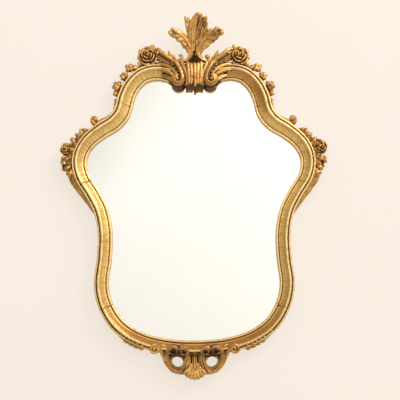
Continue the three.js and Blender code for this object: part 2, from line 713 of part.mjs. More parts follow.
// A spray lies along the outside of the arch: its branch, the rose, leaves towards the shell and away from it.
function roseSpray() {
  const branch = stem(alongEdge(SPRAY_BRANCH.spine), SPRAY_BRANCH.radii, 6, 6);
  const leaves = SPRAY_LEAVES.map((shape) => leaf({ ...shape, spine: relief(shape.spine), thick: 4, steps: 4 }));
  const { x, z, depth, radius, stem: foot, wire } = SPRAY_KNOB;
  const knob = [bud(x, z, MOULDING_DEPTH + depth, radius), stem(relief(foot), [wire, wire, wire], 4, 6)];
  return seated(joined(branch, rose(ROSE), ...knob, ...leaves));
}

// ---------- Husks, scrolls, corner flowers ----------

function husk({ along, reach, radius, lean }) {
  const station = stationAt(along);
  const at = (out, depth, shift) =>
    onStation(station, station.width + out, MOULDING_DEPTH + depth).addScaledVector(station.tangent, shift);
  const { root, middle, end, petal: ahead } = HUSK_DEPTH;
  const calyx = stem([at(-4, root, 0), at(reach * 0.5, middle, lean * 0.5), at(reach, end, lean)],
    [radius * 0.7, radius, radius * 0.5], 3, 6);
  const petal = leaf({
    spine: [
      at(-3, root + ahead, -0.4 * radius),
      at(reach * 0.45, middle + ahead + 1, lean * 0.45),
      at(reach * 0.95, end + ahead, lean + 0.4 * radius),
    ],
    halfWidths: [radius * 0.9, radius * 1.1, radius * 0.4],
    thick: 5,
    steps: 4,
  });
  return seated(joined(calyx, petal));
}

function shoulderScroll() {
  const foot = stem(relief(SHOULDER_FOOT.spine), SHOULDER_FOOT.radii, 5, 6);
  return seated(joined(foot, ...scroll(SHOULDER_SCROLL, MOULDING_DEPTH + SHOULDER_SCROLL.depth, -0.8, 0.95)));
}

// A bank of leafage runs round the widest part of the frame and carries the flowers and buds.
function cornerCluster() {
  const bank = stem(alongEdge(CORNER_BANK.spine), CORNER_BANK.radii, 8, 6);
  const buds = CORNER_BUDS.map(({ at, radius }) => {
    const [centre] = alongEdge([at]);
    return bud(centre.x, centre.z, -centre.y, radius);
  });
  return seated(joined(bank, ...buds, rose(CORNER_ROSE), rose(LOWER_FLOWER)));
}

// The long leaf that tapers down the outer edge under the corner flowers.
function taperLeaf() {
  const { from, to, half, tip, inset, back, crest, fall, roll } = TAPER_LEAF;
  const steps = 7;
  const rings = Array.from({ length: steps + 1 }, (_, i) => {
    const share = i / steps;
    const along = from + share * (to - from);
    const wide = tip + (half - tip) * (1 - share) ** 0.8;
    const top = MOULDING_DEPTH + crest - fall * share;
    return [
      pastEdge(along, -inset, back),
      pastEdge(along, -inset, top),
      pastEdge(along, wide * 0.35, top + roll * (1 - share)),
      pastEdge(along, wide * 0.6, top - roll),
      pastEdge(along, wide * 0.85, top - roll / 2),
      pastEdge(along, wide, top - fall - roll),
      pastEdge(along, wide * 0.6, back),
    ];
  });
  return seated(skin(rings));
}

// ---------- Apron and bead trails ----------

// One half: the outer band that runs from the volute to the fan, the C-scroll round the hole, and the volute.
function apronHalf(side) {
  const { x, z, drum, back, front } = APRON_VOLUTE;
  const depth = MOULDING_DEPTH + front;
  const core = bar(place(side * x, z, back), place(side * x, z, depth), drum, 10);
  const curl = scroll({ ...APRON_VOLUTE, x: side * x }, depth, -Math.PI / 2, -side * 0.95, 7);
  return [...APRON_BANDS.map((shape) => band(shape, side)), core, ...curl];
}

function apron() {
  return seated(joined(...apronHalf(1), ...apronHalf(-1), band(APRON_STALK), apronFan()));
}

// The fluted fan at the foot of the apron.
function apronFan() {
  const { half, top, bottom, ribs, rib, back, front, bow, lift } = FAN;
  const columns = 2 * ribs;
  const rings = [0, 0.5, 1].map((down) => {
    const reach = half * (0.45 + 0.55 * down);
    const edgeZ = top + (bottom - top) * down;
    const edge = Array.from({ length: columns + 1 }, (_, c) => {
      const across = (2 * c) / columns - 1;
      const crest = c % 2 ? 0 : rib;
      const z = edgeZ + lift * across * across * down - 0.5 * crest * down;
      return onRelief(reach * across, z, front + rib * down - bow * across * across - crest);
    });
    const cornerZ = edgeZ + lift * down;
    return [...edge, place(reach, cornerZ, back), place(-reach, cornerZ, back)];
  });
  return skin(rings);
}

// Beads in front of a dark band that tapers away from the apron's volute.
function beadTrail() {
  const { from, to, beads, across, spread, depth, thread, bead, inset, rise } = BEAD_TRAIL;
  const at = (share, inwards, forward) => {
    const station = stationAt(from + (to - from) * share);
    return onStation(station, across + spread * share - inwards, MOULDING_DEPTH + depth + forward);
  };
  const radii = [0.75, 0.9, 1, 0.95].map((part) => part * thread);
  const strip = stem([0, 0.33, 0.67, 1].map((share) => at(share, 0, 0)), radii, 6, 6);
  const row = Array.from({ length: beads }, (_, i) => {
    const share = i / (beads - 1);
    const centre = at(share, inset, rise);
    return bud(centre.x, centre.z, -centre.y, bead * (0.7 + 0.3 * share));
  });
  return seated(joined(strip, ...row));
}

// ---------- Assembly ----------

const mirror = new THREE.Group();
const body = new THREE.Group();
body.position.z = -PIVOT_ABOVE_DATUM;
mirror.add(body);

function add(name, geometry, material) {
  const shown = geometry.index ? geometry.toNonIndexed() : geometry;
  shown.computeVertexNormals();
  const mesh = new THREE.Mesh(shown, material);
  mesh.name = name;
  body.add(mesh);
}

for (const part of RAILS) add(part.name, rail(part), gilt());
for (const joint of JOINTS) add(joint.name, tongueBox(joint, 0), wood());

const glassFront = REBATE_DEPTH - FIT_GAP;
const glassBack = glassFront - GLASS_THICK;
add("mirror_glass", rebateSheet(glassBack, glassFront), silvered());
add("backboard", rebateSheet(backboardBack, backboardBack + BACKBOARD_THICK), board());
bradPlaces().forEach((along, i) => add(`brad_${i + 1}`, bradBar(along, 0), steel()));

add("hanger_strap", hangerStrap(), brass());
add("hanger_ring", hangerRing(), brass());
add("hanger_screw_left", hangerScrew(-1), brass());
add("hanger_screw_right", hangerScrew(1), brass());

add("shell_cartouche", shellCartouche(), gilt());
add("crest_plume", crestPlume(), gilt());
add("apron", apron(), gilt());

const PAIRS = [
  { name: "rose_spray", shape: roseSpray() },
  ...HUSKS.map((shape) => ({ name: shape.name, shape: husk(shape) })),
  { name: "shoulder_scroll", shape: shoulderScroll() },
  { name: "corner_cluster", shape: cornerCluster() },
  { name: "taper_leaf", shape: taperLeaf() },
  { name: "bead_trail", shape: beadTrail() },
];
for (const { name, shape } of PAIRS) {
  add(`${name}_right`, shape, gilt());
  add(`${name}_left`, mirrored(shape), gilt());
}

export default mirror;
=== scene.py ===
"""Looks of the carved giltwood mirror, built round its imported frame.

Shapes are written in millimetres as (x, z, depth): x to the viewer's right, z up from the arch's sight edge, and
depth forward from the back of the rails. world() turns them into the frame's metres.
"""

import math

import bpy
import numpy as np
from mathutils import Matrix, Vector, noise

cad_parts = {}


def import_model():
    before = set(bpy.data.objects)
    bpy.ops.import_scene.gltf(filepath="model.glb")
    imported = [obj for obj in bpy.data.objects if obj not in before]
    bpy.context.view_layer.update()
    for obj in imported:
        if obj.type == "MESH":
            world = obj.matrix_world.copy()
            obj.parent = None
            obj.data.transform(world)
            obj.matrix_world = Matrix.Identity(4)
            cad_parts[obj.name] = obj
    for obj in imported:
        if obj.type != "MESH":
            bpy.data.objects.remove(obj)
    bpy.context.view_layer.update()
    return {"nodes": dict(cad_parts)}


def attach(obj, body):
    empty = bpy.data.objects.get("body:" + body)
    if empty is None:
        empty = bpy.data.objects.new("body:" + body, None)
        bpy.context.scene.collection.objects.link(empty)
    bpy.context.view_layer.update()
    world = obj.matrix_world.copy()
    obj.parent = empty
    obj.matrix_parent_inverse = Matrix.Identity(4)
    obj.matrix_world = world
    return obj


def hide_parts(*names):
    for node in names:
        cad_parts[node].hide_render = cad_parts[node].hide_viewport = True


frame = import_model()

MM = 1000.0
PIVOT_ABOVE_DATUM = 14.0   # the frame's origin is level with the hanger's pivot
FORWARD = np.array([0.0, 0.0, 1.0])
TURN = 2 * math.pi


def world(points):
    """Points (x, z, depth) in millimetres, as the frame's metres."""
    p = np.asarray(points, float)
    return np.stack([p[..., 0], -p[..., 2], p[..., 1] - PIVOT_ABOVE_DATUM], axis=-1) / MM


# ---------- Camera and lamps ----------

CAMERA_PLACE, CAMERA_AIM = (0.0, -2.2, -0.614), (0.0154, -0.025, -0.339)
CAMERA_LENS, SENSOR_WIDTH, CAMERA_ROLL = 76.0, 36.0, math.radians(-0.284)
LAMP_AIM, LAMP_COLOUR = (0.0, 0.0, -0.35), (1.0, 0.97, 0.92)


def put(name, data, place, aim, roll=0.0):
    """Adds a camera or lamp at a place, looking at another."""
    obj = bpy.data.objects.new(name, data)
    bpy.context.collection.objects.link(obj)
    look = (Vector(aim) - Vector(place)).to_track_quat("-Z", "Y").to_matrix()
    obj.matrix_world = Matrix.Translation(place) @ (look @ Matrix.Rotation(roll, 3, "Z")).to_4x4()
    return obj


def add_camera():
    data = bpy.data.cameras.new("camera")
    data.lens, data.sensor_width = CAMERA_LENS, SENSOR_WIDTH
    bpy.context.scene.camera = put("camera", data, CAMERA_PLACE, CAMERA_AIM, CAMERA_ROLL)


def add_lamp(name, place, size, power):
    data = bpy.data.lights.new(name, "AREA")
    data.shape, data.size, data.energy, data.color = "DISK", size, power, LAMP_COLOUR
    data.cycles.use_multiple_importance_sampling = True
    put(name, data, place, LAMP_AIM).visible_camera = False


add_camera()
bpy.context.scene.view_settings.view_transform = "Standard"

# ---------- Node trees ----------


def srgb(r, g, b):
    """Linear colour from 0-255 screen values."""
    def one(v):
        v /= 255.0
        return v / 12.92 if v <= 0.04045 else ((v + 0.055) / 1.055) ** 2.4
    return (one(r), one(g), one(b), 1.0)


class Graph:
    """The nodes of a material or of the world, with short calls for those used here."""

    def __init__(self, owner):
        owner.use_nodes = True
        self.tree = owner.node_tree
        self.tree.nodes.clear()

    def node(self, kind, inputs=None, **settings):
        made = self.tree.nodes.new("ShaderNode" + kind)
        for key, value in settings.items():
            setattr(made, key, value)
        for key, value in (inputs or {}).items():
            if isinstance(value, bpy.types.NodeSocket):
                self.tree.links.new(value, made.inputs[key])
            else:
                made.inputs[key].default_value = value
        return made

    def math(self, operation, first, second):
        return self.node("Math", {0: first, 1: second}, operation=operation).outputs[0]

    def add(self, total, *values):
        for value in values:
            total = self.math("ADD", total, value)
        return total

    def times(self, first, second):
        return self.math("MULTIPLY", first, second)

    def swing(self, value, share):
        """How far a value lies from its middle of a half, times a share."""
        return self.times(self.math("SUBTRACT", value, 0.5), share)

    def remap(self, value, low, high, to_low=0.0, to_high=1.0):
        return self.node("MapRange", {"Value": value, 1: low, 2: high, 3: to_low, 4: to_high},
                         interpolation_type="SMOOTHSTEP").outputs["Result"]

    def ramp(self, value, stops):
        made = self.node("ValToRGB", {"Fac": value})
        elements = made.color_ramp.elements
        elements[0].position, elements[0].color = stops[0]
        elements[1].position, elements[1].color = stops[-1]
        for position, colour in stops[1:-1]:
            elements.new(position).color = colour
        return made.outputs["Color"]

    def mix(self, share, first, second):
        return self.node("Mix", {0: share, 6: first, 7: second}, data_type="RGBA").outputs[2]

    def object_place(self):
        return self.node("TexCoord").outputs["Object"]

    def attribute(self, name, output="Fac"):
        return self.node("Attribute", attribute_name=name).outputs[output]

    def noise(self, where, scale, detail=3.0, roughness=0.55, stretch=None):
        if stretch:
            where = self.node("Mapping", {"Vector": where, "Scale": stretch}).outputs[0]
        inputs = {"Vector": where, "Scale": scale, "Detail": detail, "Roughness": roughness}
        return self.node("TexNoise", inputs).outputs["Fac"]

    def bump(self, height, strength, distance):
        inputs = {"Height": height, "Strength": strength, "Distance": distance}
        return self.node("Bump", inputs).outputs[0]

    def surface(self, **inputs):
        """Ends the material in one principled shader. Underlines stand for the spaces of the inputs' names."""
        named = {key.replace("_", " "): value for key, value in inputs.items()}
        self.node("OutputMaterial", {"Surface": self.node("BsdfPrincipled", named).outputs[0]})


def new_material(name):
    material = bpy.data.materials.new(name)
    return material, Graph(material)


# ---------- Room, wall and floor ----------

WALL_SHOWN, ROOM_LIGHT = srgb(253, 243, 231), srgb(255, 251, 244)
OWN_SHARE, LIT_SHARE = 0.78, 0.18
WALL_Y, WALL_TOP, FLOOR_Z, FLOOR_FRONT, STAGE_HALF = 0.0062, 2.4, -1.6, -5.0, 4.0


def make_world():
    """Pale to the camera. To the object it is a room that is brighter above, in front and to the right, and a
    little duller high on the left."""
    room = bpy.data.worlds.new("room")
    bpy.context.scene.world = room
    graph = Graph(room)
    way = graph.node("SeparateXYZ", {"Vector": graph.node("TexCoord").outputs["Generated"]}).outputs
    up = graph.remap(way["Z"], -1.0, 1.0, 0.42, 1.25)
    right = graph.remap(way["X"], -1.0, 1.0, 0.58, 1.2)
    front = graph.remap(way["Y"], -1.0, 1.0, 1.36, 0.7)
    high_left = graph.remap(graph.math("SUBTRACT", way["Z"], way["X"]), 0.2, 0.36, 1.0, 0.77)
    strength = graph.times(graph.times(graph.times(up, right), front), high_left)
    light = graph.node("Background", {"Color": ROOM_LIGHT, "Strength": strength})
    seen = graph.node("Background", {"Color": WALL_SHOWN, "Strength": 1.0})
    is_camera = graph.node("LightPath").outputs["Is Camera Ray"]
    both = graph.node("MixShader", {0: is_camera, 1: light.outputs[0], 2: seen.outputs[0]})
    graph.node("OutputWorld", {"Surface": both.outputs[0]})


def pale_paint(name):
    """A matt paint that shows about the wall's colour: most is its own, and the rest is lit and takes shadows."""
    material, graph = new_material(name)
    rays = graph.node("LightPath").outputs
    sees = graph.math("MAXIMUM", rays["Is Camera Ray"], rays["Is Glossy Ray"])
    lit, own = ([c * share for c in WALL_SHOWN[:3]] + [1.0] for share in (LIT_SHARE, OWN_SHARE))
    matt = graph.node("BsdfDiffuse", {"Color": lit})
    glow = graph.node("Emission", {"Color": own, "Strength": sees})
    return material, graph, graph.node("AddShader", {0: matt.outputs[0], 1: glow.outputs[0]}).outputs[0]


def stage_quad(name, near, far, material):
    """A stage surface that spans the stage's width, between a near and a far (y, z)."""
    corners = [(-STAGE_HALF, *near), (STAGE_HALF, *near), (STAGE_HALF, *far), (-STAGE_HALF, *far)]
    mesh = bpy.data.meshes.new(name)
    mesh.from_pydata([Vector(c) for c in corners], [], [(0, 1, 2, 3)])
    mesh.materials.append(material)
    obj = bpy.data.objects.new(name, mesh)
    bpy.context.collection.objects.link(obj)
    return obj


def make_stage():
    """A wall that is seen from the front only, and a floor far below the object."""
    wall_paint, graph, paint = pale_paint("wall_paint")
    is_back = graph.node("NewGeometry").outputs["Backfacing"]
    through = graph.node("BsdfTransparent").outputs[0]
    one_sided = graph.node("MixShader", {0: is_back, 1: paint, 2: through})
    graph.node("OutputMaterial", {"Surface": one_sided.outputs[0]})
    wall = stage_quad("wall", (WALL_Y, FLOOR_Z), (WALL_Y, WALL_TOP), wall_paint)
    wall.visible_diffuse = wall.visible_shadow = False
    floor_paint, graph, paint = pale_paint("floor_paint")
    graph.node("OutputMaterial", {"Surface": paint})
    stage_quad("floor", (FLOOR_FRONT, FLOOR_Z), (WALL_Y, FLOOR_Z), floor_paint)


make_world()
make_stage()
add_lamp("key", (1.9, -2.0, 1.7), 1.5, 54.0)
add_lamp("fill", (-1.4, -2.4, 0.6), 1.6, 8.0)

# ---------- Materials ----------

MOULDING_GOLDS = (srgb(184, 136, 68), srgb(236, 204, 130), srgb(252, 230, 170))
# The carvings' golds are a darker copy of the moulding's, as painted shade; the plume's are a lighter copy, as a
# painted highlight.
SHADED_CARVING_GOLDS = (srgb(114, 68, 28), srgb(176, 126, 62), srgb(240, 196, 116))
LIT_PLUME_GOLDS = (srgb(134, 84, 36), srgb(206, 156, 84), srgb(252, 214, 138))
BOLE, TONING_AND_SHADE, GLAZE_AND_SHADE = srgb(150, 82, 42), srgb(152, 88, 36), srgb(76, 42, 14)


def gilt_material(name, golds, bole=1.1, mottle=1.0, toned_and_shaded=False):
    """Water gilding: gold leaf over red bole, with a painted highlight where it stands proud, and brown glaze with
    dirt and painted shade in the hollows. The moulding's gilt also has painted shade towards the bottom and the right
    of the top, and painted shade and brown toning along the attribute "line"."""
    gold_deep, gold_plain, gold_light = golds
    material, graph = new_material(name)
    where = graph.object_place()
    hollow, proud = graph.attribute("hollow"), graph.attribute("proud")
    broad, middle, fine = graph.noise(where, 17.0), graph.noise(where, 95.0, 4.0), graph.noise(where, 620.0)
    tone = graph.add(graph.times(broad, 0.55), graph.times(middle, 0.45))
    tone = graph.add(graph.swing(tone, mottle), 0.5)
    if toned_and_shaded:
        streaks = graph.noise(graph.attribute("lie", "Vector"), 1.0, 3.0, 0.6, (330.0, 45.0, 1.0))
        tone = graph.add(tone, graph.swing(streaks, 0.5))
    gold = graph.ramp(tone, [(0.34, gold_deep), (0.5, gold_plain), (0.66, gold_light)])
    if toned_and_shaded:
        # painted shade: the moulding's gold goes deeper towards the bottom and towards the right of the top
        at = graph.node("SeparateXYZ", {"Vector": where}).outputs
        low_down = graph.remap(at["Z"], -0.52, -0.7)
        top_right = graph.times(graph.remap(at["X"], 0.02, 0.09, 0.0, 0.75), graph.remap(at["Z"], -0.14, -0.05))
        gold = graph.mix(graph.math("MAXIMUM", low_down, top_right), gold, gold_deep)
        # painted shade in the grooves, at the glass and under the ridge, with brown toning, along the moulding's
        # lines
        line = graph.add(graph.attribute("line"), graph.swing(middle, 0.5))
        gold = graph.mix(graph.remap(line, 0.05, 1.0, 0.0, 0.95), gold, TONING_AND_SHADE)
    # painted highlight: lighter gold where the gilding stands proud
    gold_with_painted_highlight = graph.mix(graph.times(proud, 0.6), gold, gold_light)
    patch = graph.add(middle, graph.times(fine, 0.35), graph.times(proud, 0.06))
    bole_share = graph.remap(patch, 0.76, 0.9, 0.0, 0.75 * bole)
    # dirt and painted shade: brown glaze where a point lies hollow or behind what stands round it
    soil_and_shade = graph.add(hollow, graph.swing(broad, 0.5), graph.swing(middle, 0.35))
    soil_and_shade_share = graph.remap(soil_and_shade, 0.22, 0.85, 0.0, 0.95)
    metal = graph.times(graph.remap(soil_and_shade_share, 0.0, 0.9, 0.8, 0.1), graph.remap(bole_share, 0.0, 0.8, 1.0, 0.4))
    sheen = 0.38 if toned_and_shaded else 0.3
    graph.surface(
        Base_Color=graph.mix(soil_and_shade_share, graph.mix(bole_share, gold_with_painted_highlight, BOLE), GLAZE_AND_SHADE),
        Metallic=metal,
        Roughness=graph.add(graph.remap(fine, 0.3, 0.7, sheen, sheen + 0.14), graph.times(soil_and_shade_share, 0.25)),
        Normal=graph.bump(graph.add(graph.times(middle, 0.7), graph.times(fine, 0.3)), 0.45 * mottle, 0.0009))
    return material


def wood_material(name, light, dark, grain=(1.0, 1.0, 9.0)):
    """Bare wood with bands and pores stretched along its grain, and broad stains."""
    material, graph = new_material(name)
    where = graph.object_place()
    bands, pores = graph.noise(where, 22.0, 5.0, 0.6, grain), graph.noise(where, 160.0, 4.0, 0.6, grain)
    tone = graph.add(graph.times(bands, 0.6), graph.times(pores, 0.4))
    colour = graph.ramp(tone, [(0.34, dark), (0.66, light)])
    stain = graph.remap(graph.noise(where, 6.0, 2.0), 0.45, 0.75, 0.0, 0.5)
    graph.surface(Base_Color=graph.mix(stain, colour, dark), Roughness=graph.remap(pores, 0.3, 0.7, 0.6, 0.82),
                  Normal=graph.bump(tone, 0.4, 0.0006))
    return material


def metal_material(name, colour, worn, rough):
    """Tarnished metal with fine scratches."""
    material, graph = new_material(name)
    where = graph.object_place()
    tarnish, scratch = graph.noise(where, 210.0, 4.0), graph.noise(where, 420.0, 2.0, 0.5, (1.0, 1.0, 0.12))
    graph.surface(Base_Color=graph.mix(graph.remap(tarnish, 0.42, 0.72), colour, worn), Metallic=1.0,
                  Roughness=graph.remap(tarnish, 0.35, 0.7, rough - 0.08, rough + 0.15),
                  Normal=graph.bump(scratch, 0.25, 0.0002))
    return material


def glass_material():
    """Silvered glass, with the faintest haze."""
    material, graph = new_material("silvered_glass")
    haze = graph.noise(graph.object_place(), 5.0)
    graph.surface(Base_Color=graph.ramp(haze, [(0.3, srgb(249, 249, 245)), (0.7, srgb(253, 253, 250))]), Metallic=1.0,
                  Roughness=graph.remap(haze, 0.3, 0.8, 0.004, 0.02))
    return material


GILT_RAIL = gilt_material("gilt_moulding", MOULDING_GOLDS, bole=0.5, mottle=0.35, toned_and_shaded=True)
# shaded and lit copies of the one gilt: painted shade on the carvings, a painted highlight on the plume
GILT_CARVING_SHADED = gilt_material("gilt_carving_shaded", SHADED_CARVING_GOLDS)
GILT_PLUME_LIT = gilt_material("gilt_carving_plume_lit", LIT_PLUME_GOLDS)
BARE_WOOD = wood_material("bare_lime_wood", srgb(206, 170, 120), srgb(150, 108, 66))
BACK_WOOD = wood_material("old_pine_board", srgb(150, 112, 74), srgb(98, 68, 42), (1.0, 1.0, 0.12))
BEECH = wood_material("beech", srgb(196, 152, 104), srgb(150, 106, 66))
BRASS = metal_material("dull_brass", srgb(190, 152, 84), srgb(132, 98, 50), 0.36)
STEEL = metal_material("brad_steel", srgb(170, 168, 162), srgb(110, 102, 94), 0.38)
GLASS = glass_material()

# ---------- Splines and frames ----------


def catmull(points, closed=False, per_span=24):
    """A centripetal Catmull-Rom curve through the points, densely sampled."""
    p = np.asarray(points, float)
    p = np.vstack([p[-1:], p, p[:2]] if closed else [2 * p[:1] - p[1:2], p, 2 * p[-1:] - p[-2:-1]])
    out = []
    for p0, p1, p2, p3 in zip(p, p[1:], p[2:], p[3:]):
        d0, d1, d2 = (max(np.linalg.norm(b - a) ** 0.5, 1e-4) for a, b in ((p0, p1), (p1, p2), (p2, p3)))
        t1 = ((p1 - p0) / d0 - (p2 - p0) / (d0 + d1) + (p2 - p1) / d1) * d1
        t2 = ((p2 - p1) / d1 - (p3 - p1) / (d1 + d2) + (p3 - p2) / d2) * d1
        w = np.linspace(0, 1, per_span, endpoint=False)[:, None]
        c2 = -3 * p1 + 3 * p2 - 2 * t1 - t2
        c3 = 2 * p1 - 2 * p2 + t1 + t2
        out.append(p1 + t1 * w + c2 * w**2 + c3 * w**3)
    return np.concatenate(out if closed else out + [p[-2:-1]])


def by_length(curve, shares, closed=False):
    """Points at shares of the curve's length, with unit tangents and the whole length."""
    line = np.vstack([curve, curve[:1]]) if closed else curve
    at = np.concatenate([[0], np.cumsum(np.linalg.norm(np.diff(line, axis=0), axis=1))])
    total = at[-1]

    def points_at(lengths):
        lengths = lengths % total if closed else np.clip(lengths, 0, total)
        return np.stack([np.interp(lengths, at, line[:, k]) for k in range(3)], axis=-1)

    lengths = np.asarray(shares, float) * total
    small = total * 1e-3
    tangent = points_at(lengths + small) - points_at(lengths - small)
    return points_at(lengths), tangent / np.linalg.norm(tangent, axis=1)[:, None], total


def frames(spine, count):
    """Centres, sides and fronts along a spine. The front starts as near to forward as it can, and is carried along
    without turning about the spine."""
    centre, tangent, _ = by_length(catmull(spine), np.linspace(0, 1, count))
    side, front = np.zeros_like(centre), np.zeros_like(centre)
    now = FORWARD
    for i in range(count):
        now = now - tangent[i] * now.dot(tangent[i])
        now /= np.linalg.norm(now)
        front[i] = now
        side[i] = np.cross(tangent[i], now)
    return centre, side, front


def along(values, count):
    """A list of values eased over a number of steps."""
    return np.interp(np.linspace(0, 1, count), np.linspace(0, 1, len(values)), values)


def with_round_ends(widths, centre, least):
    """Widths along a spine that round off at both ends, to the root of a least share."""
    share = np.linspace(0, 1, len(centre))
    near = np.minimum(share, 1 - share) * np.linalg.norm(np.diff(centre, axis=0), axis=1).sum()
    return widths * np.sqrt(np.clip(1 - (1 - np.clip(near / widths, 0, 1)) ** 2, least, 1))


# ---------- Closed shapes, each (points, faces) in millimetres ----------

LEAF_EDGE = 1.2
BALL_SIDES, BALL_RINGS = 20, 10
STEPS_PER_POINT = 12


def grid_shell(rings):
    """A skin through rings of points, closed round each ring and capped at both ends."""
    rings = np.asarray(rings, float)
    count, across, _ = rings.shape
    last = (count - 1) * across
    pairs = [(i, (i + 1) % across) for i in range(across)]
    faces = [(row + i, row + j, row + across + j, row + across + i)
             for row in range(0, last, across) for i, j in pairs]
    points = np.vstack([rings.reshape(-1, 3), rings[0].mean(axis=0), rings[-1].mean(axis=0)])
    for i, j in pairs:
        faces += [(j, i, last + across), (last + i, last + j, last + across + 1)]
    corners = np.array([(f[0], f[k], f[k + 1]) for f in faces for k in range(1, len(f) - 1)])
    a, b, c = (points[corners[:, k]] for k in range(3))
    if (a * np.cross(b, c)).sum() < 0:
        faces = [tuple(reversed(f)) for f in faces]
    return points, faces


def tube(spine, radii, sides=18, count=None, flat=1.0):
    """A round or flattened bar along a spine, with rounded ends."""
    centre, side, front = frames(spine, count or STEPS_PER_POINT * len(spine))
    radius = with_round_ends(along(radii, len(centre)), centre, 0.02)
    angle = np.linspace(0, TURN, sides, endpoint=False)[None, :, None]
    way = np.cos(angle) * side[:, None] + flat * np.sin(angle) * front[:, None]
    return grid_shell(centre[:, None] + radius[:, None, None] * way)


def leaf(spine, widths, thick=4.0, lobes=0.0, notch=0.25, reeds=3.0, reed=0.9, cup=0.12, vein=0.0,
         count=56, across=30):
    """A carved leaf: half widths along its spine, notched lobes down its edges, rounded reeds that run to its tip,
    its edges cupped forward and a vein groove down its middle."""
    centre, side, front = frames(spine, count)
    half = along(widths, count)[:, None]
    u = np.linspace(0, 1, count)[:, None]
    v = np.linspace(-1, 1, across)[None, :]
    saw = np.abs(np.sin(np.pi * (u * lobes))) ** 0.6 if lobes else 1.0
    wide = half * (1 - notch * (1 - saw) * np.abs(v) ** 1.5)
    body = np.clip(half / (2.2 * thick), 0.35, 1) * thick
    round_off = 1 - np.abs(v) ** 3
    ridges = reed * np.abs(np.cos(np.pi * reeds * v)) * (1 - v**4) * np.clip(half / 9, 0.3, 1)
    groove = vein * np.exp(-(v / 0.16) ** 2) * np.sin(np.pi * np.clip(u * 1.15, 0, 1)) ** 0.5
    rise = LEAF_EDGE + body * round_off * 0.75 + ridges - groove
    fall = -LEAF_EDGE - body * round_off * 0.25
    bend = cup * half * v**2
    plan = centre[:, None] + side[:, None] * (v * wide)[..., None]
    top, under = (plan + front[:, None] * (height + bend)[..., None] for height in (rise, fall))
    return grid_shell(np.concatenate([top, under[:, ::-1]], axis=1))


def blade(spine, widths, thick=4.0, reed=1.6, **more):
    """A small leaf with one low ridge."""
    return leaf(spine, widths, thick=thick, reeds=0.5, reed=reed, **more)


# Heights across a ribbon, from one edge (-1) to the other (1).
CARVED_BAND = [(-1, 0.1), (-0.93, 0.7), (-0.8, 1.0), (-0.66, 0.75), (-0.56, 0.4), (-0.3, 0.72), (0, 0.85),
               (0.3, 0.72), (0.56, 0.4), (0.66, 0.75), (0.8, 1.0), (0.93, 0.7), (1, 0.1)]
ROUND_BAND = [(-1, 0.05), (-0.8, 0.62), (-0.45, 0.92), (0, 1.0), (0.45, 0.92), (0.8, 0.62), (1, 0.05)]
# rounded, with a fine rim on the second side, which lies to the outside of a scroll
RIM_BAND = [(-1, 0.05), (-0.94, 0.5), (-0.84, 0.72), (-0.72, 0.6), (-0.62, 0.42), (-0.3, 0.66), (0, 0.72),
            (0.25, 0.62), (0.42, 0.34), (0.54, 0.62), (0.68, 0.98), (0.8, 1.0), (0.92, 0.7), (1, 0.05)]
SHELL_BAND = [(-1, 0.05), (-0.9, 0.7), (-0.72, 1.0), (-0.5, 0.8), (-0.38, 0.45), (-0.2, 0.75), (0.1, 0.9),
              (0.34, 0.7), (0.46, 0.4), (0.62, 0.8), (0.8, 1.0), (0.93, 0.65), (1, 0.05)]
STALK_BAND = [(-1, 0.1), (-0.7, 0.5), (-0.5, -0.1), (-0.3, 0.6), (0.05, 1.0), (0.4, 0.6), (0.6, -0.1), (0.75, 0.5),
              (1, 0.1)]
BAND_POINTS = 27


def ribbon(spine, halves, rise, back, profile=CARVED_BAND, count=None):
    """A carved band with a flat back: half widths along its spine, and the front's height across it."""
    centre, side, front = frames(spine, count or STEPS_PER_POINT * len(spine))
    half = with_round_ends(along(halves, len(centre)), centre, 0.03)
    v = np.linspace(-1, 1, BAND_POINTS)
    height = rise * np.interp(v, [p[0] for p in profile], [p[1] for p in profile])
    reach = side[:, None] * (v[None, :, None] * half[:, None, None])
    top = centre[:, None] + reach + front[:, None] * height[None, :, None]
    under = centre[:, None] + 0.92 * reach - front[:, None] * back
    return grid_shell(np.concatenate([top, under[:, ::-1]], axis=1))


def acanthus(midrib, plate, fingers, curl=3.0):
    """A leaf cut into fingers: each leaves the midrib at a share of its length and ends at a rounded tip of its own.
    The half widths of the plate behind them run along the midrib."""
    line = catmull(midrib)
    at = np.linspace(0, 1, len(line))
    made = [blade(np.asarray(midrib, float) - 2.5 * FORWARD, plate, reed=0)]
    for start, tip, half in fingers:
        root, bend = (np.array([np.interp(min(1, start + more), at, line[:, k]) for k in range(3)])
                      for more in (0, 0.28))
        tip = np.asarray(tip, float)
        way = tip - bend
        over = tip + way / max(np.linalg.norm(way), 1e-6) * half * 0.2 - curl * FORWARD
        made.append(blade([root, bend, (bend + tip) / 2 + FORWARD, tip, over],
                          [0.5 * half, 0.75 * half, half, 0.95 * half, 0.45 * half], reed=1.4, cup=-0.12,
                          count=34, across=17))
    return made


def turned(x, z, outline, sides=40):
    """A solid turned about a line that runs forward: its outline is a row of (radius, depth)."""
    turn = np.linspace(0, TURN, sides, endpoint=False)
    along_x, along_z = np.cos(turn), np.sin(turn)
    return grid_shell([np.stack([x + radius * along_x, z + radius * along_z, np.full(sides, depth)], axis=-1)
                       for radius, depth in outline])


def ball(x, z, depth, radius, flat=1.0):
    return turned(x, z, [(radius * np.sin(a), depth + flat * radius * np.cos(a))
                         for a in np.linspace(0, np.pi, BALL_RINGS + 2)[1:-1]], sides=BALL_SIDES)


def spiral(x, z, radius, depth, start, turns, wire, end_share, rise, inner=0.55, flat=1.1):
    """A volute: a bar that winds in from radius to a share of it, lifting and thinning as it goes."""
    share = np.linspace(0, 1, 14)
    angle = start + share * turns * 2 * np.pi
    reach = radius * (1 - (1 - end_share) * share**0.85)
    spine = np.stack([x + reach * np.cos(angle), z + reach * np.sin(angle), depth + rise * share], axis=-1)
    return tube(spine, [wire, wire, wire * (1 + inner) / 2, wire * inner], sides=16, count=60, flat=flat)


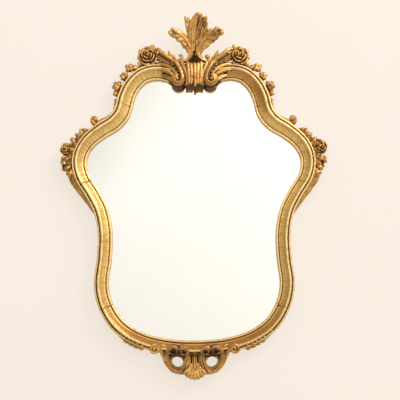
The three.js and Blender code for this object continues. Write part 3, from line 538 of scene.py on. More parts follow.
def petal(x, z, angle, foot, lip, low, high, spread, thick):
    """A curved petal that stands up from its foot and leans out to a rolled lip. One end overlaps its neighbour."""
    overlap = 1.2
    rings = []
    for t in np.linspace(-1, 1, 19):
        top = high - (high - low) * 0.42 * t**4
        out = foot + (lip - foot) * (1 - 0.22 * t**2) + overlap * t
        root = foot + overlap * t
        outline = [(root - 0.5 * thick, low), (root + 0.35 * (out - root) - 0.55 * thick, low + 0.55 * (top - low)),
                   (out - 0.85 * thick, top - 0.8), (out - 0.45 * thick, top + 0.2), (out + 0.1 * thick, top + 0.1),
                   (out + 0.5 * thick, top - 0.9), (out + 0.35 * thick, top - 2.4),
                   (root + 0.5 * (out - root) + 0.5 * thick, low + 0.5 * (top - low)), (root + 0.6 * thick, low)]
        turn = angle + spread * t
        rings.append([(x + r * math.cos(turn), z + r * math.sin(turn), d) for r, d in outline])
    return grid_shell(rings)


def petals(x, z, count, turn, *form):
    return [petal(x, z, turn + 2 * math.pi * k / count, *form) for k in range(count)]


def rose(x, z, radius, back, front, turn):
    """Three rows of overlapping petals round a rolled bud."""
    deep = front - back
    cup = [(0.55, 0), (0.9, 0.12), (0.88, 0.3), (0.66, 0.42), (0.46, 0.62), (0.3, 0.74), (0.1, 0.8)]
    made = [turned(x, z, [(wide * radius, back + up * deep) for wide, up in cup])]
    for count, more, foot, lip, low, high, spread, thick in (
            (5, 0, 0.66, 1.0, 0.1, 0.55, 0.68, 0.16), (4, 0.7, 0.44, 0.7, 0.3, 0.78, 0.82, 0.14),
            (3, 1.9, 0.2, 0.42, 0.45, 0.94, 0.98, 0.12)):
        made += petals(x, z, count, turn + more, foot * radius, lip * radius, back + low * deep, back + high * deep,
                       spread, thick * radius)
    made.append(spiral(x, z, 0.2 * radius, back + 0.9 * deep, turn, 1.2, 0.07 * radius, end_share=0.2,
                       rise=0.06 * deep, inner=0.9, flat=2.5))
    return made


def flower(x, z, radius, back, front, turn):
    """An open flower: one row of hollow petals round a button."""
    deep = front - back
    cup = [(0.5, 0), (0.72, 0.2), (0.6, 0.4), (0.2, 0.45)]
    return [turned(x, z, [(wide * radius, back + up * deep) for wide, up in cup]),
            *petals(x, z, 5, turn, 0.42 * radius, 0.92 * radius, back + 0.15 * deep, back + 0.7 * deep, 0.52,
                    0.18 * radius),
            ball(x, z, back + 0.7 * deep, 0.26 * radius)]


def mirrored(shapes):
    """The same shapes on the other side of the middle."""
    return [(points * np.array([-1, 1, 1]), [tuple(reversed(f)) for f in faces]) for points, faces in shapes]


# ---------- Meshes with their worn and dirty places, their painted shade and their painted highlights ---

CAP_POINTS = 2
MAP_LOW, MAP_SIZE = np.array([[-370], [-820]]), (740, 1010)
CARVINGS, MOULDINGS = [], []


def edge_pairs(mesh):
    pairs = np.zeros(len(mesh.edges) * 2, np.int64)
    mesh.edges.foreach_get("vertices", pairs)
    return pairs.reshape(-1, 2)


def blur(values, pairs, degree, rounds):
    """Smooths values over a mesh's edges."""
    ends, starts = np.concatenate([pairs, pairs[:, ::-1]]).T
    for _ in range(rounds):
        total = np.stack([np.bincount(ends, column[starts], len(values)) for column in values.T], axis=-1)
        values = 0.5 * values + 0.5 * total / degree
    return values


def coordinates(mesh):
    co = np.zeros(len(mesh.vertices) * 3)
    mesh.vertices.foreach_get("co", co)
    return co.reshape(-1, 3)


def datum_places(mesh):
    """The x, z and depth of a mesh's points, in millimetres."""
    co = coordinates(mesh) * MM
    return co[:, 0], co[:, 2] + PIVOT_ABOVE_DATUM, -co[:, 1]


def normals_of(mesh):
    """Normals at the points. A rail has rows of points and a cap at each end, which mustn't turn its last rows."""
    n = np.zeros(len(mesh.vertices) * 3)
    mesh.vertices.foreach_get("normal", n)
    n = n.reshape(-1, 3)
    row = mesh.get("row", 0)
    if row:
        last = len(n) - CAP_POINTS - row
        n[:row], n[last:last + row] = n[row:2 * row], n[last - row:last]
    return n


def paint_dirt_and_shade(mesh, pairs, scales, soil_and_shade):
    """Writes how hollow each point lies to the attribute "hollow" and how proud to "proud", from 0 to 1; the gilt
    puts dirt and painted shade in what is hollow and a painted highlight on what is proud. Each scale is (rounds of
    smoothing, the depth in millimetres that counts as full). The soil and painted shade given are added to what is
    hollow."""
    degree = np.maximum(np.bincount(pairs.ravel(), minlength=len(mesh.vertices)).astype(float), 1)[:, None]
    co, n = coordinates(mesh), normals_of(mesh)
    hollow, proud = np.zeros(len(co)), np.zeros(len(co))
    smooth, done = co, 0
    for rounds, full in scales:
        smooth = blur(smooth, pairs, degree, rounds - done)
        done = rounds
        depth = ((smooth - co) * n).sum(axis=1) * MM / full
        hollow = np.maximum(hollow, np.clip(depth, 0, 1))
        proud = np.maximum(proud, np.clip(-depth * 0.8, 0, 1))
    for name, values in (("hollow", np.clip(hollow + soil_and_shade, 0, 1)), ("proud", proud)):
        values = blur(values[:, None], pairs, degree, 1)[:, 0]
        mesh.attributes.new(name, "FLOAT", "POINT").data.foreach_set("value", values.astype(np.float32))


def cells(x, z):
    """The cells of a map of one-millimetre cells that points fall in."""
    return tuple(np.round(np.stack([x, z]) - MAP_LOW).astype(int))


def relief(objects, spread):
    """A map of the front-most depth of some pieces, each point filling a few cells round it."""
    front = np.zeros(MAP_SIZE)
    for obj in objects:
        x, z, depth = datum_places(obj.data)
        np.maximum.at(front, cells(x, z), depth)
    for _ in range(spread):
        for axis in (0, 1):
            front = np.maximum(front, np.maximum(np.roll(front, 1, axis), np.roll(front, -1, axis)))
    return front


def averaged(grid, reach):
    """A map averaged twice over a square of cells."""
    for axis in (0, 1, 0, 1):
        total = np.cumsum(grid, axis=axis)
        grid = (np.roll(total, -reach, axis) - np.roll(total, reach + 1, axis)) / (2 * reach + 1)
    return grid


def below(obj, grid, full):
    """How far each point lies behind a map's depth, as a share of a full depth."""
    x, z, depth = datum_places(obj.data)
    return np.clip((grid[cells(x, z)] - depth) / full, 0, 1)


def roughen(mesh, amount, size):
    """Small unevenness of hand-cut wood under gesso, in millimetres."""
    co, n = coordinates(mesh), normals_of(mesh)
    lift = np.array([noise.noise(Vector(c * (1000 / size))) + 0.5 * noise.noise(Vector(c * (2300 / size)))
                     for c in co])
    mesh.vertices.foreach_set("co", (co + n * (lift * amount / MM)[:, None]).ravel())
    mesh.update()


def new_object(name, shapes):
    points, faces, start = [], [], 0
    for p, f in shapes:
        points.append(world(p))
        faces += [tuple(i + start for i in face) for face in f]
        start += len(p)
    mesh = bpy.data.meshes.new(name)
    mesh.from_pydata(np.concatenate(points).tolist(), [], faces)
    mesh.validate()
    obj = bpy.data.objects.new(name, mesh)
    bpy.context.collection.objects.link(obj)
    return obj


def stand_for(obj, node_name):
    """A gilt piece of the frame takes the place of its CAD node."""
    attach(obj, "frame")
    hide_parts(node_name)


def carve(name, shapes, node_name, material=GILT_CARVING_SHADED, voxel=1.0):
    """Joins shapes into one carving: a fine remesh, softened edges and a little unevenness."""
    obj = new_object(name, shapes)
    remesh = obj.modifiers.new("join", "REMESH")
    remesh.mode, remesh.voxel_size, remesh.adaptivity = "VOXEL", voxel / MM, 0.0
    smooth = obj.modifiers.new("soften", "SMOOTH")
    smooth.factor, smooth.iterations = 0.5, 2
    made = bpy.data.meshes.new_from_object(obj.evaluated_get(bpy.context.evaluated_depsgraph_get()))
    obj.modifiers.clear()
    obj.data = made
    made.name = name
    roughen(made, 0.16, 7.0)
    made.materials.append(material)
    made.shade_smooth()
    CARVINGS.append(obj)
    stand_for(obj, node_name)


def carve_pair(node_name, right, left=None, voxel=1.0):
    """A carving on the right and one on the left, both drawn for the right. One drawing serves for both if no left
    is given."""
    carve(f"gilt_{node_name}_right", right, f"{node_name}_right", voxel=voxel)
    carve(f"gilt_{node_name}_left", mirrored(left or right), f"{node_name}_left", voxel=voxel)


# ---------- The moulding ----------

SIGHT_HALF = [
    (0, -18), (48, -13), (98, -3.5), (124, -10), (144, -30), (157, -58), (163, -84), (173, -109), (197, -136),
    (234, -159), (264, -184), (280, -216), (276, -252), (249, -297), (224, -347), (212, -410), (214, -482),
    (220.5, -541), (211, -587), (182, -633), (134, -664), (70, -681), (0, -685.5),
]
ARCH_WIDTH, NECK_WIDTH, SIDE_WIDTH = 41.0, 45.0, 37.0
NECK_JOINT, SHOULDER_JOINT, LOWER_JOINT = 205.0, 450.0, 790.0
sight_points = [(x, z, 0.0) for x, z in SIGHT_HALF] + [(-x, z, 0.0) for x, z in SIGHT_HALF[-2:0:-1]]
SIGHT = catmull(sight_points, closed=True, per_span=60)
LOOP = by_length(SIGHT, [0.0], closed=True)[2]


def smoothstep(value, low, high):
    share = np.clip((value - low) / (high - low), 0, 1)
    return share * share * (3 - 2 * share)


def width_at(lengths):
    """The moulding's width at lengths round the sight edge, from the top to the right."""
    lengths = np.asarray(lengths, float) % LOOP
    from_top = np.minimum(lengths, LOOP - lengths)
    return (ARCH_WIDTH + (NECK_WIDTH - ARCH_WIDTH) * smoothstep(from_top, NECK_JOINT / 2, NECK_JOINT)
            + (SIDE_WIDTH - NECK_WIDTH) * smoothstep(from_top, NECK_JOINT, SHOULDER_JOINT))


def stations(lengths):
    """Points of the sight edge, its outward directions and the moulding's widths."""
    lengths = np.asarray(lengths, float)
    points, tangent, _ = by_length(SIGHT, lengths / LOOP, closed=True)
    return points, np.stack([-tangent[:, 1], tangent[:, 0], 0 * tangent[:, 0]], axis=-1), width_at(lengths)


def on_face(length, across, depth):
    """A point of the moulding, across from the sight edge."""
    points, way, _ = stations([length])
    return points[0] + way[0] * across + depth * FORWARD


def past_edge(length, out, depth):
    """A point beyond the moulding's outer edge."""
    return on_face(length, width_at([length])[0] + out, depth)


def edge_tube(places, radii):
    """A bar along the moulding's outer edge, through places given as past_edge takes them."""
    return tube([past_edge(*place) for place in places], radii)


def arc(x0, z0, x1, z1, rise, count):
    """Points of a rounded bead between two edges."""
    t = np.linspace(0, np.pi, count)
    return [(x0 + (x1 - x0) * (1 - math.cos(a)) / 2, z0 + (z1 - z0) * (1 - math.cos(a)) / 2 + rise * math.sin(a))
            for a in t]


def face_section(width):
    """The gilded face, (across, depth), from the glass round the front to the back's outer edge."""
    k = width / SIDE_WIDTH
    ridge, groove, half = 25.0 * k, 30.5 * k, 3.5 * k
    cove_from, cove_to = 9.2, ridge - half
    cove = [(0.0, 0.0), (0.2, 0.06), (0.4, 0.19), (0.6, 0.37), (0.75, 0.54), (0.88, 0.72), (1.0, 0.875)]
    return [
        (0, 11.0), (0, 14.5), (0.1, 18.0), *arc(0.3, 18.4, 6.3, 18.4, 3.3, 9),
        (6.9, 17.0), (7.5, 16.8), (7.9, 18.4), (8.4, 19.2),
        *((cove_from + (cove_to - cove_from) * a, 19.3 + 20.7 * b) for a, b in cove),
        (cove_to + 0.3 * half, 38.6), (ridge - 0.35 * half, 39.7), (ridge + 0.1 * half, 40.0),
        (ridge + 0.6 * half, 39.2), (ridge + half, 36.9), (groove - 0.9, 33.4), (groove, 31.2), (groove + 0.8, 33.2),
        *arc(groove + 1.0, 33.4, width - 0.7, 32.6, 2.3, 7),
        (width - 0.2, 31.0), (width - 0.9, 29.2), (width - 1.2, 28.4), (width - 0.1, 27.2), (width, 25.0),
        (width - 0.4, 20.0), (width - 1.4, 12.0), (width - 2.4, 5.0), (width - 3.0, 0.6),
    ]


def back_section(width):
    """The bare back, from the outer edge to the rebate."""
    return [(width - 3.4, 0.0), (width - 12.0, 0.0), (10.4, 0.0), (10.0, 0.4), (10.0, 11.0)]


FACE_POINTS = 92
RAIL_STEP = 3.4
# How brown the toning and painted shade are across a moulding of the narrowest width: painted shade in the grooves,
# at the glass and in the shade of the ridge, and browner on the outer bands.
TONING_AND_SHADE_LINES = [
    (0, 0.9), (0.3, 0.45), (2, 0.1), (4.5, 0.05), (6.4, 0.4), (7.4, 0.75), (8.8, 0.45), (10.5, 0.1), (13, 0.0),
    (16, 0.04), (19, 0.3), (21.3, 0.62), (22.6, 0.4), (23.6, 0.05), (25.5, 0.08), (28, 0.5), (29.6, 0.75),
    (30.5, 0.85), (31.6, 0.7), (33, 0.42), (34.6, 0.4), (36, 0.65), (37, 0.9),
]
GLASS_LIP = 17.6


def even(outline, count):
    """The same outline with evenly spaced points."""
    outline = np.asarray(outline, float)
    at = np.concatenate([[0], np.cumsum(np.linalg.norm(np.diff(outline, axis=0), axis=1))])
    return np.stack([np.interp(np.linspace(0, at[-1], count), at, outline[:, k]) for k in range(2)], axis=-1)


def mark_bands(mesh, lengths, widths, sections):
    """Where each point of a rail lies along and across it, and how brown its toning and painted shade are there."""
    rows, across = sections.shape[:2]
    lie, line = np.zeros((len(mesh.vertices), 3)), np.zeros(len(mesh.vertices))
    count = rows * across
    lie[:count, 0] = np.repeat(lengths, across) / MM
    lie[:count, 1] = sections[..., 0].ravel() / MM
    place = sections[..., 0] * (SIDE_WIDTH / widths)[:, None]
    brown = np.interp(place, [p[0] for p in TONING_AND_SHADE_LINES], [p[1] for p in TONING_AND_SHADE_LINES])
    # the lip's wall next to the glass takes the full painted shade
    line[:count] = np.where((place < 1.0) & (sections[..., 1] < GLASS_LIP), 1.0, brown).ravel()
    mesh.attributes.new("lie", "FLOAT_VECTOR", "POINT").data.foreach_set("vector", lie.ravel().astype(np.float32))
    mesh.attributes.new("line", "FLOAT", "POINT").data.foreach_set("value", line.astype(np.float32))


def rail(start, end, node_name):
    """A sweep of the section between two lengths round the sight edge. Its back is bare wood, and so is the back's
    part of each end.
    """
    lengths = np.linspace(start, end, max(2, round((end - start) / RAIL_STEP)) + 1)
    points, way, widths = stations(lengths)
    sections = np.array([np.vstack([even(face_section(width), FACE_POINTS), back_section(width)])
                         for width in widths])
    obj = new_object(f"gilt_{node_name}", [grid_shell(
        [point + out * outline[:, :1] + FORWARD * outline[:, 1:]
         for point, out, outline in zip(points, way, sections)])])
    mesh = obj.data
    rows, across = sections.shape[:2]
    mesh["row"] = across
    roughen(mesh, 0.1, 14.0)
    roughen(mesh, 0.03, 3.5)
    mesh.materials.append(GILT_RAIL)
    mesh.materials.append(BARE_WOOD)
    bare = np.zeros(len(mesh.polygons), np.int32)
    for polygon in mesh.polygons:
        spots = [v % across for v in polygon.vertices if v < across * rows]
        bare[polygon.index] = min(spots) >= FACE_POINTS - 1 or (max(spots) == across - 1 and min(spots) == 0)
    mesh.polygons.foreach_set("material_index", bare)
    mesh.shade_smooth()
    for polygon in mesh.polygons:
        if len(polygon.vertices) == 3:
            polygon.use_smooth = False
    mark_bands(mesh, lengths, widths, sections)
    MOULDINGS.append((obj, across, rows))
    stand_for(obj, node_name)


RAIL_NAMES = ("upper_rail_right", "shoulder_rail_right", "side_rail_right", "bottom_rail", "side_rail_left",
              "shoulder_rail_left", "upper_rail_left")
joints = [0.0, NECK_JOINT, SHOULDER_JOINT, LOWER_JOINT]
joints += [LOOP - joint for joint in reversed(joints)]
for rail_name, rail_start, rail_end in zip(RAIL_NAMES, joints, joints[1:]):
    rail(rail_start, rail_end, rail_name)

# ---------- Shell cartouche ----------

# The five middle reeds: x and z of the top, and of the foot. The photo's shell stands a little right of the middle.
REEDS = [(2.5, 32, 4, -31), (-6.5, 32, -5.5, -25), (11.5, 32, 10.5, -25), (-15, 35, -12, -24), (20, 35, 17, -24)]
SHELL_MIDDLE, BANDS_MIDDLE = 3, 2.2
DRUM = [(10.4, 12.6), (10.8, 15.5), (13.6, 17.5), (14.2, 22), (13.6, 27), (12.2, 29), (13.6, 31), (14.4, 36),
        (14.2, 43), (13.0, 47.5), (9, 48.5)]


def shell():
    """Nine reeds that spread to rolled tops. The outermost curl round at the foot into volutes, and the moulding's
    bands bend down into them."""
    rings = []
    across = np.linspace(-1, 1, 25)
    for down in np.linspace(0, 1, 14):
        half = 24 + 26 * (1 - down) ** 1.7
        hump = 44 + 9 * math.sin(math.pi * (0.25 + 0.6 * down)) - 12 * across**2 * (1 - 0.5 * down)
        front = np.stack([SHELL_MIDDLE + half * across, 33 - 54 * down - 3 * across**2, hump], axis=-1)
        rear = np.stack([SHELL_MIDDLE + half * across[::-1], 33 - 40 * down - 3 * across[::-1]**2,
                         16 + 12 * (1 - down) + 0 * across], axis=-1)
        rings.append(np.concatenate([front, rear]))
    made = [grid_shell(rings)]
    for x0, top_z, x1, foot_z in REEDS:
        made.append(tube([(x0, top_z - 5, 45), (x0, top_z, 49), (x0 * 0.9 + x1 * 0.1, 22, 53), ((x0 + x1) / 2, 4, 56),
                          (x1, -12, 57), (x1, foot_z + 3, 58), (x1, foot_z, 57)],
                         [3.6, 5.4, 5.2, 4.8, 4.4, 4.2, 3.0], flat=0.9))
    for side in (-1, 1):
        def at(*points):
            return [(BANDS_MIDDLE + side * x, z, depth) for x, z, depth in points]
        drum_x = BANDS_MIDDLE + side * 43.5
        made += [
            tube(at((40, 32, 38), (38, 39.5, 42), (34, 38, 46), (31, 29, 49), (25.5, 16, 52), (21, 2, 54),
                    (19.5, -10, 55), (20.5, -21, 55), (21, -26, 53)),
                 [3, 4.4, 5, 5.4, 5.4, 5.0, 4.6, 4.2, 3.0], flat=0.95),
            ribbon(at((58, 31, 34), (57, 39.5, 37), (51, 38, 41), (42.5, 26, 45), (36.5, 14, 48), (32.5, 2, 50),
                      (32.2, -8, 51), (36.5, -16.5, 51), (44.5, -18.5, 51), (51.5, -14, 50), (53.5, -6.5, 50),
                      (49.5, -1.5, 51), (45, -3.5, 52)),
                   [3, 4.4, 6, 7, 7.2, 6.6, 5.4, 4.6, 4.3, 4.1, 3.8, 3.2, 2.4], 4.5, 8.0, SHELL_BAND),
            turned(drum_x, -8.0, DRUM, sides=44),
            ball(*at((45.0, -7.8, 51.5))[0], 4.5),
            # the moulding's ridge and outer bead, which bend down into the volute
            tube(at((97, 19.5, 36), (84, 19.5, 37), (70, 14, 39), (58, 6, 42), (50, -1, 45)),
                 [4.0, 5.0, 5.2, 4.8, 3.4]),
            tube(at((100, 37.5, 30), (84, 34.5, 34), (67, 27.5, 37), (54.5, 16.5, 40), (46, 6, 43)),
                 [3.0, 4.6, 5.2, 5.0, 4.0]),
            leaf(at((88, 8, 24), (74, 5, 29), (62, -2, 34), (54, -9, 38)), [3, 7, 8, 6], thick=5, reeds=1.5),
        ]
    return made


carve("gilt_shell", shell(), "shell_cartouche")

# ---------- Crest plume ----------


def plume():
    """The stem's two strips stand on small feet with a dark groove between them, and open into the leaves."""
    side_leaf = dict(thick=6, lobes=3.5, notch=0.28, reed=2.6, cup=0.14, vein=1.5)
    return [
        blade([(3, 28, 12), (3, 46, 15), (3, 66, 21), (2, 96, 30), (4, 120, 37)], [20, 14, 11, 12, 10], thick=6,
              reed=0),
        ribbon([(-29, 48, 36), (-27, 43.5, 37), (-20, 43.5, 38), (-12, 51, 38), (-7, 62, 37), (-5.5, 78, 38),
                (-5, 98, 41)], [2.4, 3.6, 4.6, 5.2, 5.6, 5.6, 5], 5.5, 8),
        ribbon([(45, 48, 33), (42, 42.5, 34), (33, 43, 36), (21, 50, 38), (13.5, 62, 37), (11.5, 78, 38),
                (10, 98, 41)], [2.4, 3.4, 4.6, 5.4, 5.6, 5.6, 5], 5.5, 8),
        # the centre leaf's long smooth lobe
        leaf([(-2, 70, 37), (-3, 90, 41), (-3, 112, 46), (0, 136, 54), (6, 153, 61), (13, 160, 65)],
             [7, 10, 11.5, 11.5, 10, 6], thick=6, reeds=1.5, reed=2.4, cup=-0.1),
        # its darker lobe, which turns over in a few broad curls
        leaf([(8, 84, 34), (13, 106, 39), (18, 128, 46), (24, 146, 55)], [7, 11, 14, 12], thick=6, lobes=2.5,
             notch=0.3, reeds=2.5, reed=2.6, cup=0.1),
        *acanthus([(8, 96, 36), (14, 116, 42), (20, 136, 50)], (5, 8, 9, 6),
                  [(0.35, (36, 139, 57), 7), (0.55, (34, 154, 62), 7.5), (0.55, (20, 161, 64), 7.5)], curl=4.5),
        # two small leaflets
        *acanthus([(-6, 92, 38), (-11, 118, 42), (-15, 140, 46)], (4, 6, 7, 4),
                  [(0.35, (-19, 141, 48), 5.5), (0.55, (-21, 158, 51), 5.5), (0.5, (-12, 156, 51), 5)]),
        *acanthus([(10, 84, 40), (18, 102, 45), (26, 117, 50)], (4, 6, 6, 4),
                  [(0.3, (25, 130, 54), 5), (0.55, (36, 129, 56), 5.5)]),
        # the side leaves: a fluted blade with a few broad lobes, and a tip that rolls forward
        leaf([(-4, 58, 33), (-14, 80, 38), (-27, 98, 44), (-42, 110, 53), (-55, 113, 61)], [6, 11, 13, 14, 10],
             reeds=2.5, **side_leaf),
        *acanthus([(-6, 66, 36), (-18, 88, 42), (-32, 103, 50), (-46, 111, 58)], (5, 8, 9, 7),
                  [(0.1, (-23, 110, 47), 7.5), (0.38, (-39, 121, 55), 8), (0.62, (-55, 122, 62), 8),
                   (0.5, (-55, 104, 60), 7.5), (0.25, (-41, 95, 51), 7), (0.02, (-25, 79, 42), 6)], curl=4.5),
        leaf([(8, 58, 33), (20, 78, 38), (34, 95, 44), (50, 108, 52), (64, 112, 60)], [6, 12, 16, 18, 12],
             reeds=3.5, **side_leaf),
        *acanthus([(12, 66, 36), (26, 86, 42), (42, 101, 50), (58, 111, 58)], (5, 9, 11, 8),
                  [(0.08, (28, 109, 46), 7.5), (0.32, (45, 123, 54), 8.5), (0.58, (63, 126, 62), 8.5),
                   (0.62, (72, 112, 62), 8), (0.36, (60, 98, 56), 8), (0.1, (40, 84, 46), 7)], curl=4.5),
        # the rolled tips
        tube([(-62, 118, 60), (-60, 110, 64), (-55, 103, 62)], [4, 6, 4]),
        tube([(67, 121, 61), (74, 113, 63), (70, 104, 61)], [4, 6.5, 4]),
        tube([(4, 160, 63), (14, 161, 66), (22, 158, 64)], [3.5, 5, 4]),
    ]


carve("gilt_plume", plume(), "crest_plume", GILT_PLUME_LIT)

# ---------- Rose sprays on the arch ----------


def rose_spray(side):
    """A rose on the arch, a broad leaf down to the shell and small leafage under it, drawn for the right. The two
    sprays differ a little, as cut by hand."""
    made = [
        edge_tube([(a, 0.5, 19) for a in (50, 64, 80, 96, 112, 122, 136)], [3, 6, 7, 7, 7, 6, 3]),
        *rose(120.5, 58.5, 24.5, 15, 50, turn=0.4 if side > 0 else 1.3),
        # the long leaf from the rose to the shell, its tip behind the rose
        leaf([(103, 77, 31), (94, 75, 36), (85, 67, 39), (75, 59, 39), (64, 51, 37), (54, 44, 35)],
             [3, 5.5, 6, 5.5, 5, 4], thick=4.5, lobes=3, notch=0.15, reeds=0.5, reed=1.6, cup=0.1),
        leaf([(106, 60, 22), (94, 58, 26), (82, 51, 28), (70, 43, 28), (58, 36, 26)],
             [9, 12, 12, 11, 7], thick=6, lobes=5, notch=0.22, reeds=2.5, reed=2.4, cup=0.05),
        blade([(113, 74, 28), (109, 82, 31), (105, 88, 34)], [8, 8, 3.5]),
        # the pointed leaves that stand up beside the shell
        leaf([(53, 38, 27), (57, 50, 31), (62, 62, 35), (65, 71, 37)], [9, 10.5, 8, 2.5], thick=5, lobes=1.5,
             notch=0.25, reeds=1.5, reed=2.2),
        blade([(69, 42, 27), (72, 53, 31), (75, 62, 33)], [7, 8, 3], thick=4.5),
        # leaves behind the rose's outer side
        blade([(132, 67, 20), (140, 72, 23), (146, 74, 23)], [7, 7.5, 4.5]),
        blade([(136, 54, 20), (144, 56, 22), (149, 57, 22)], [7, 7.5, 4.5]),
        blade([(132, 43, 20), (141, 40, 23), (148, 37, 23)], [7, 7.5, 4.5]),
    ]
    if side > 0:   # a knob beside the shell on the right, and a curl on the left
        made += [ball(37, 55, 36, 7.0), tube([(46, 38, 32), (41, 46, 34), (37, 52, 35)], [4, 4.5, 4])]
    else:
        made.append(tube([(46, 38, 34), (42, 43, 37), (36, 46, 38), (30, 51, 38), (31, 58, 38), (37, 58, 39),
                          (37, 53, 40)], [4, 4.6, 4.2, 3.8, 3.4, 3.0, 2.4]))
    # small leafage between the broad leaf and the rail
    for k, (length, lift) in enumerate(((54, 9), (62, 12), (70, 14), (78, 15), (86, 16), (94, 16))):
        root, tip = past_edge(length, -1, 25), past_edge(length + 3 * (-1) ** k, lift, 30)
        made.append(blade([root, (root + tip) / 2 + 2.0 * FORWARD, tip], [4.2, 5.4, 3.4], thick=3.6, reed=1.4))
    return made


carve_pair("rose_spray", rose_spray(1), rose_spray(-1))

# ---------- Husks, scrolls and corner flowers ----------


def bud(length, out, depth, radius, turns):
    """A round bud beyond the moulding's edge, with petals that lie close to it."""
    centre = past_edge(length, out, depth)
    made = [ball(*centre, radius)]
    for turn in turns:
        way = np.array([math.cos(turn), math.sin(turn), 0.0])
        made.append(blade([centre - 0.6 * radius * way, centre + 0.5 * radius * way + 0.9 * radius * FORWARD,
                           centre + 1.15 * radius * way + 0.35 * radius * FORWARD],
                          [0.3 * radius, 0.55 * radius, 0.4 * radius], thick=0.45 * radius, reed=1.2))
    return made


# Three husks on the outside of the neck: two buds in their calyxes, and a wide one that trails off in small beads.
HUSKS = {
    "upper_husk": [
        edge_tube([(128, -2, 16), (130, 8, 20), (134, 14, 22)], [7, 8.5, 8.5]),
        *bud(136, 15, 23, 10.0, (0.6, 2.0, -1.0, 3.6)),
    ],
    "middle_husk": [
        edge_tube([(153, -3, 17), (152, 4, 20), (151, 9, 22)], [8.5, 9.5, 8]),
        *bud(151, 9, 22, 9.4, (0.2, 1.3, 2.4, -0.9)),
    ],
    "lower_husk": [
        edge_tube([(174, -3, 16), (173, 4, 19), (172, 9, 21)], [11, 12, 10]),
        *bud(171, 9, 22, 11.5, (0.9, -0.2, 2.1, -1.2)),
        *bud(185, 4, 20, 8.0, (-0.3, 0.9)),
        *(ball(*past_edge(length, out, 22), radius) for length, out, radius in
          ((196, 2, 4.6), (206, 1.5, 3.8), (215, 1, 3.4), (224, 0.5, 3.0))),
    ],
}
for husk_name, shapes in HUSKS.items():
    carve_pair(husk_name, shapes, voxel=0.8)


def shoulder_scroll(x=259.0, z=-111.0):
    return [
        tube([(x - 14, z - 14, 20), (x - 4, z - 13, 23), (x + 5, z - 9, 26), (x + 7.5, z - 1, 28)], [5.5, 7, 6, 5]),
        edge_tube([(a, 0, 25) for a in (266, 282, 296, 310, 326)], [2, 4, 5.5, 5.5, 3]),
        spiral(x, z, 8.0, 27, -0.9, 1.15, 4.6, end_share=0.25, rise=2.0),
        ball(x, z, 29, 4.4),
    ]


carve_pair("shoulder_scroll", shoulder_scroll(), voxel=0.8)

# x, z and radius of the round bits of a corner cluster
OUTER_BUDS = [(286, -141, 7), (301, -155, 9), (316, -167, 7), (289, -155, 5.5), (299, -169, 5.5)]
INNER_BITS = [
    (306, -178, 4.4), (312, -190, 3.6), (315, -201, 4.6), (311, -212, 4.0), (316, -222, 4.8), (312, -233, 4.0),
    (314, -244, 4.6), (312, -256, 5.0), (322, -213, 4.2), (330, -212, 4.0), (341, -214, 4.4), (343, -222, 3.6),
    (318, -250, 4.2), (327, -252, 4.6), (302, -188, 3.6), (304, -200, 3.6), (306, -224, 3.6), (305, -246, 4.0),
]
# where each of its leaves starts and ends, as (length, past the edge), and its half width
CLUSTER_LEAVES = [
    ((356, 0), (350, 16), 5), ((378, 2), (368, 19), 5.5), ((398, 6), (402, 21), 5.5), ((410, 4), (416, 19), 5.5),
    ((384, 0), (388, 12), 4.5), ((416, 2), (430, 13), 5.5),
]


def corner_cluster(rose_place, rose_radius, rose_turn, flower_place):
    """A rose, an open flower, buds and leaf bits on a bank that runs round the widest part of the frame."""
    made = [
        edge_tube([(336, 0, 19), (352, 2, 19), (372, 4, 19), (394, 6, 19), (414, 5, 19), (426, 2, 19)],
                  [5, 8.5, 11, 13, 12, 6]),
        *rose(*rose_place, rose_radius, 14, 44, rose_turn),
        *flower(*flower_place, 14, 12, 38, 0.5),
    ]
    for x, z, radius in OUTER_BUDS:
        made += [ball(x, z, 26, radius, flat=0.9), ball(x - 0.9, z + 0.9, 26 + 0.7 * radius, radius * 0.5)]
        for turn in (0.5, 2.6, 4.7):
            made.append(ball(x + 0.8 * radius * math.cos(turn), z + 0.8 * radius * math.sin(turn), 26 + 0.3 * radius,
                             0.45 * radius))
    for x, z, radius in INNER_BITS:
        made += [ball(x, z, 29, 1.15 * radius), ball(x + 2.5, z - 4.5, 28, 0.8 * radius)]
    for start, end, half in CLUSTER_LEAVES:
        a, b = past_edge(*start, 28), past_edge(*end, 30)
        made.append(blade([a, (a + b) / 2 + 3.5 * FORWARD, b], [half * 0.8, half, half * 0.55], thick=3.8))
    return made


carve_pair("corner_cluster", corner_cluster((328.5, -186.5), 20.0, 0.2, (329.5, -231.5)),
           corner_cluster((331.5, -191.0), 17.0, 0.9, (332.5, -238.0)), voxel=0.9)


def taper_leaf():
    """The long reeded leaf under the corner flowers, narrowing as it runs down the frame's outer edge."""
    start, end, half, tip = 424.0, 540.0, 17.0, 2.0
    rings = []
    for share in np.linspace(0, 1, 60):
        wide = tip + (half - tip) * (1 - share) ** 0.8
        notch = 1 - 0.16 * (1 - abs(math.sin(math.pi * 4.5 * share)) ** 0.6) * (1 - share)
        points, way, width = stations([start + share * (end - start)])
        across = np.linspace(-3, wide * notch, 22)
        t = np.clip(across / wide, 0, 1)
        reed = 1.5 * (1 - 0.6 * share) * np.abs(np.cos(np.pi * 2.5 * t))
        depth = 27.0 - 5 * share + 2 - 8 * t**2 + reed
        top, under = (points[0] + way[0] * (width[0] + out)[:, None] + FORWARD * height[:, None]
                      for out, height in ((across, depth), (across[::-1] * 0.9, 6 + 6 * t[::-1])))
        rings.append(np.concatenate([top, under]))
    return [grid_shell(rings)]


carve_pair("taper_leaf", taper_leaf())

# ---------- Apron and bead trails ----------

VOLUTE_X, VOLUTE_Z = 102.5, -705.0
HOLE_X, HOLE_Z, HOLE_RADIUS, HOLE_WALL = 44.4, -741.0, 15.2, 6
FAN_REACH, FAN_TOP, FAN_POINTS = 26.0, -750.0, 31
FAN_TIPS = [(-27.5, -771), (-19.5, -777.5), (-10, -782), (0, -784), (10, -782), (19.5, -777.5), (27.5, -771)]


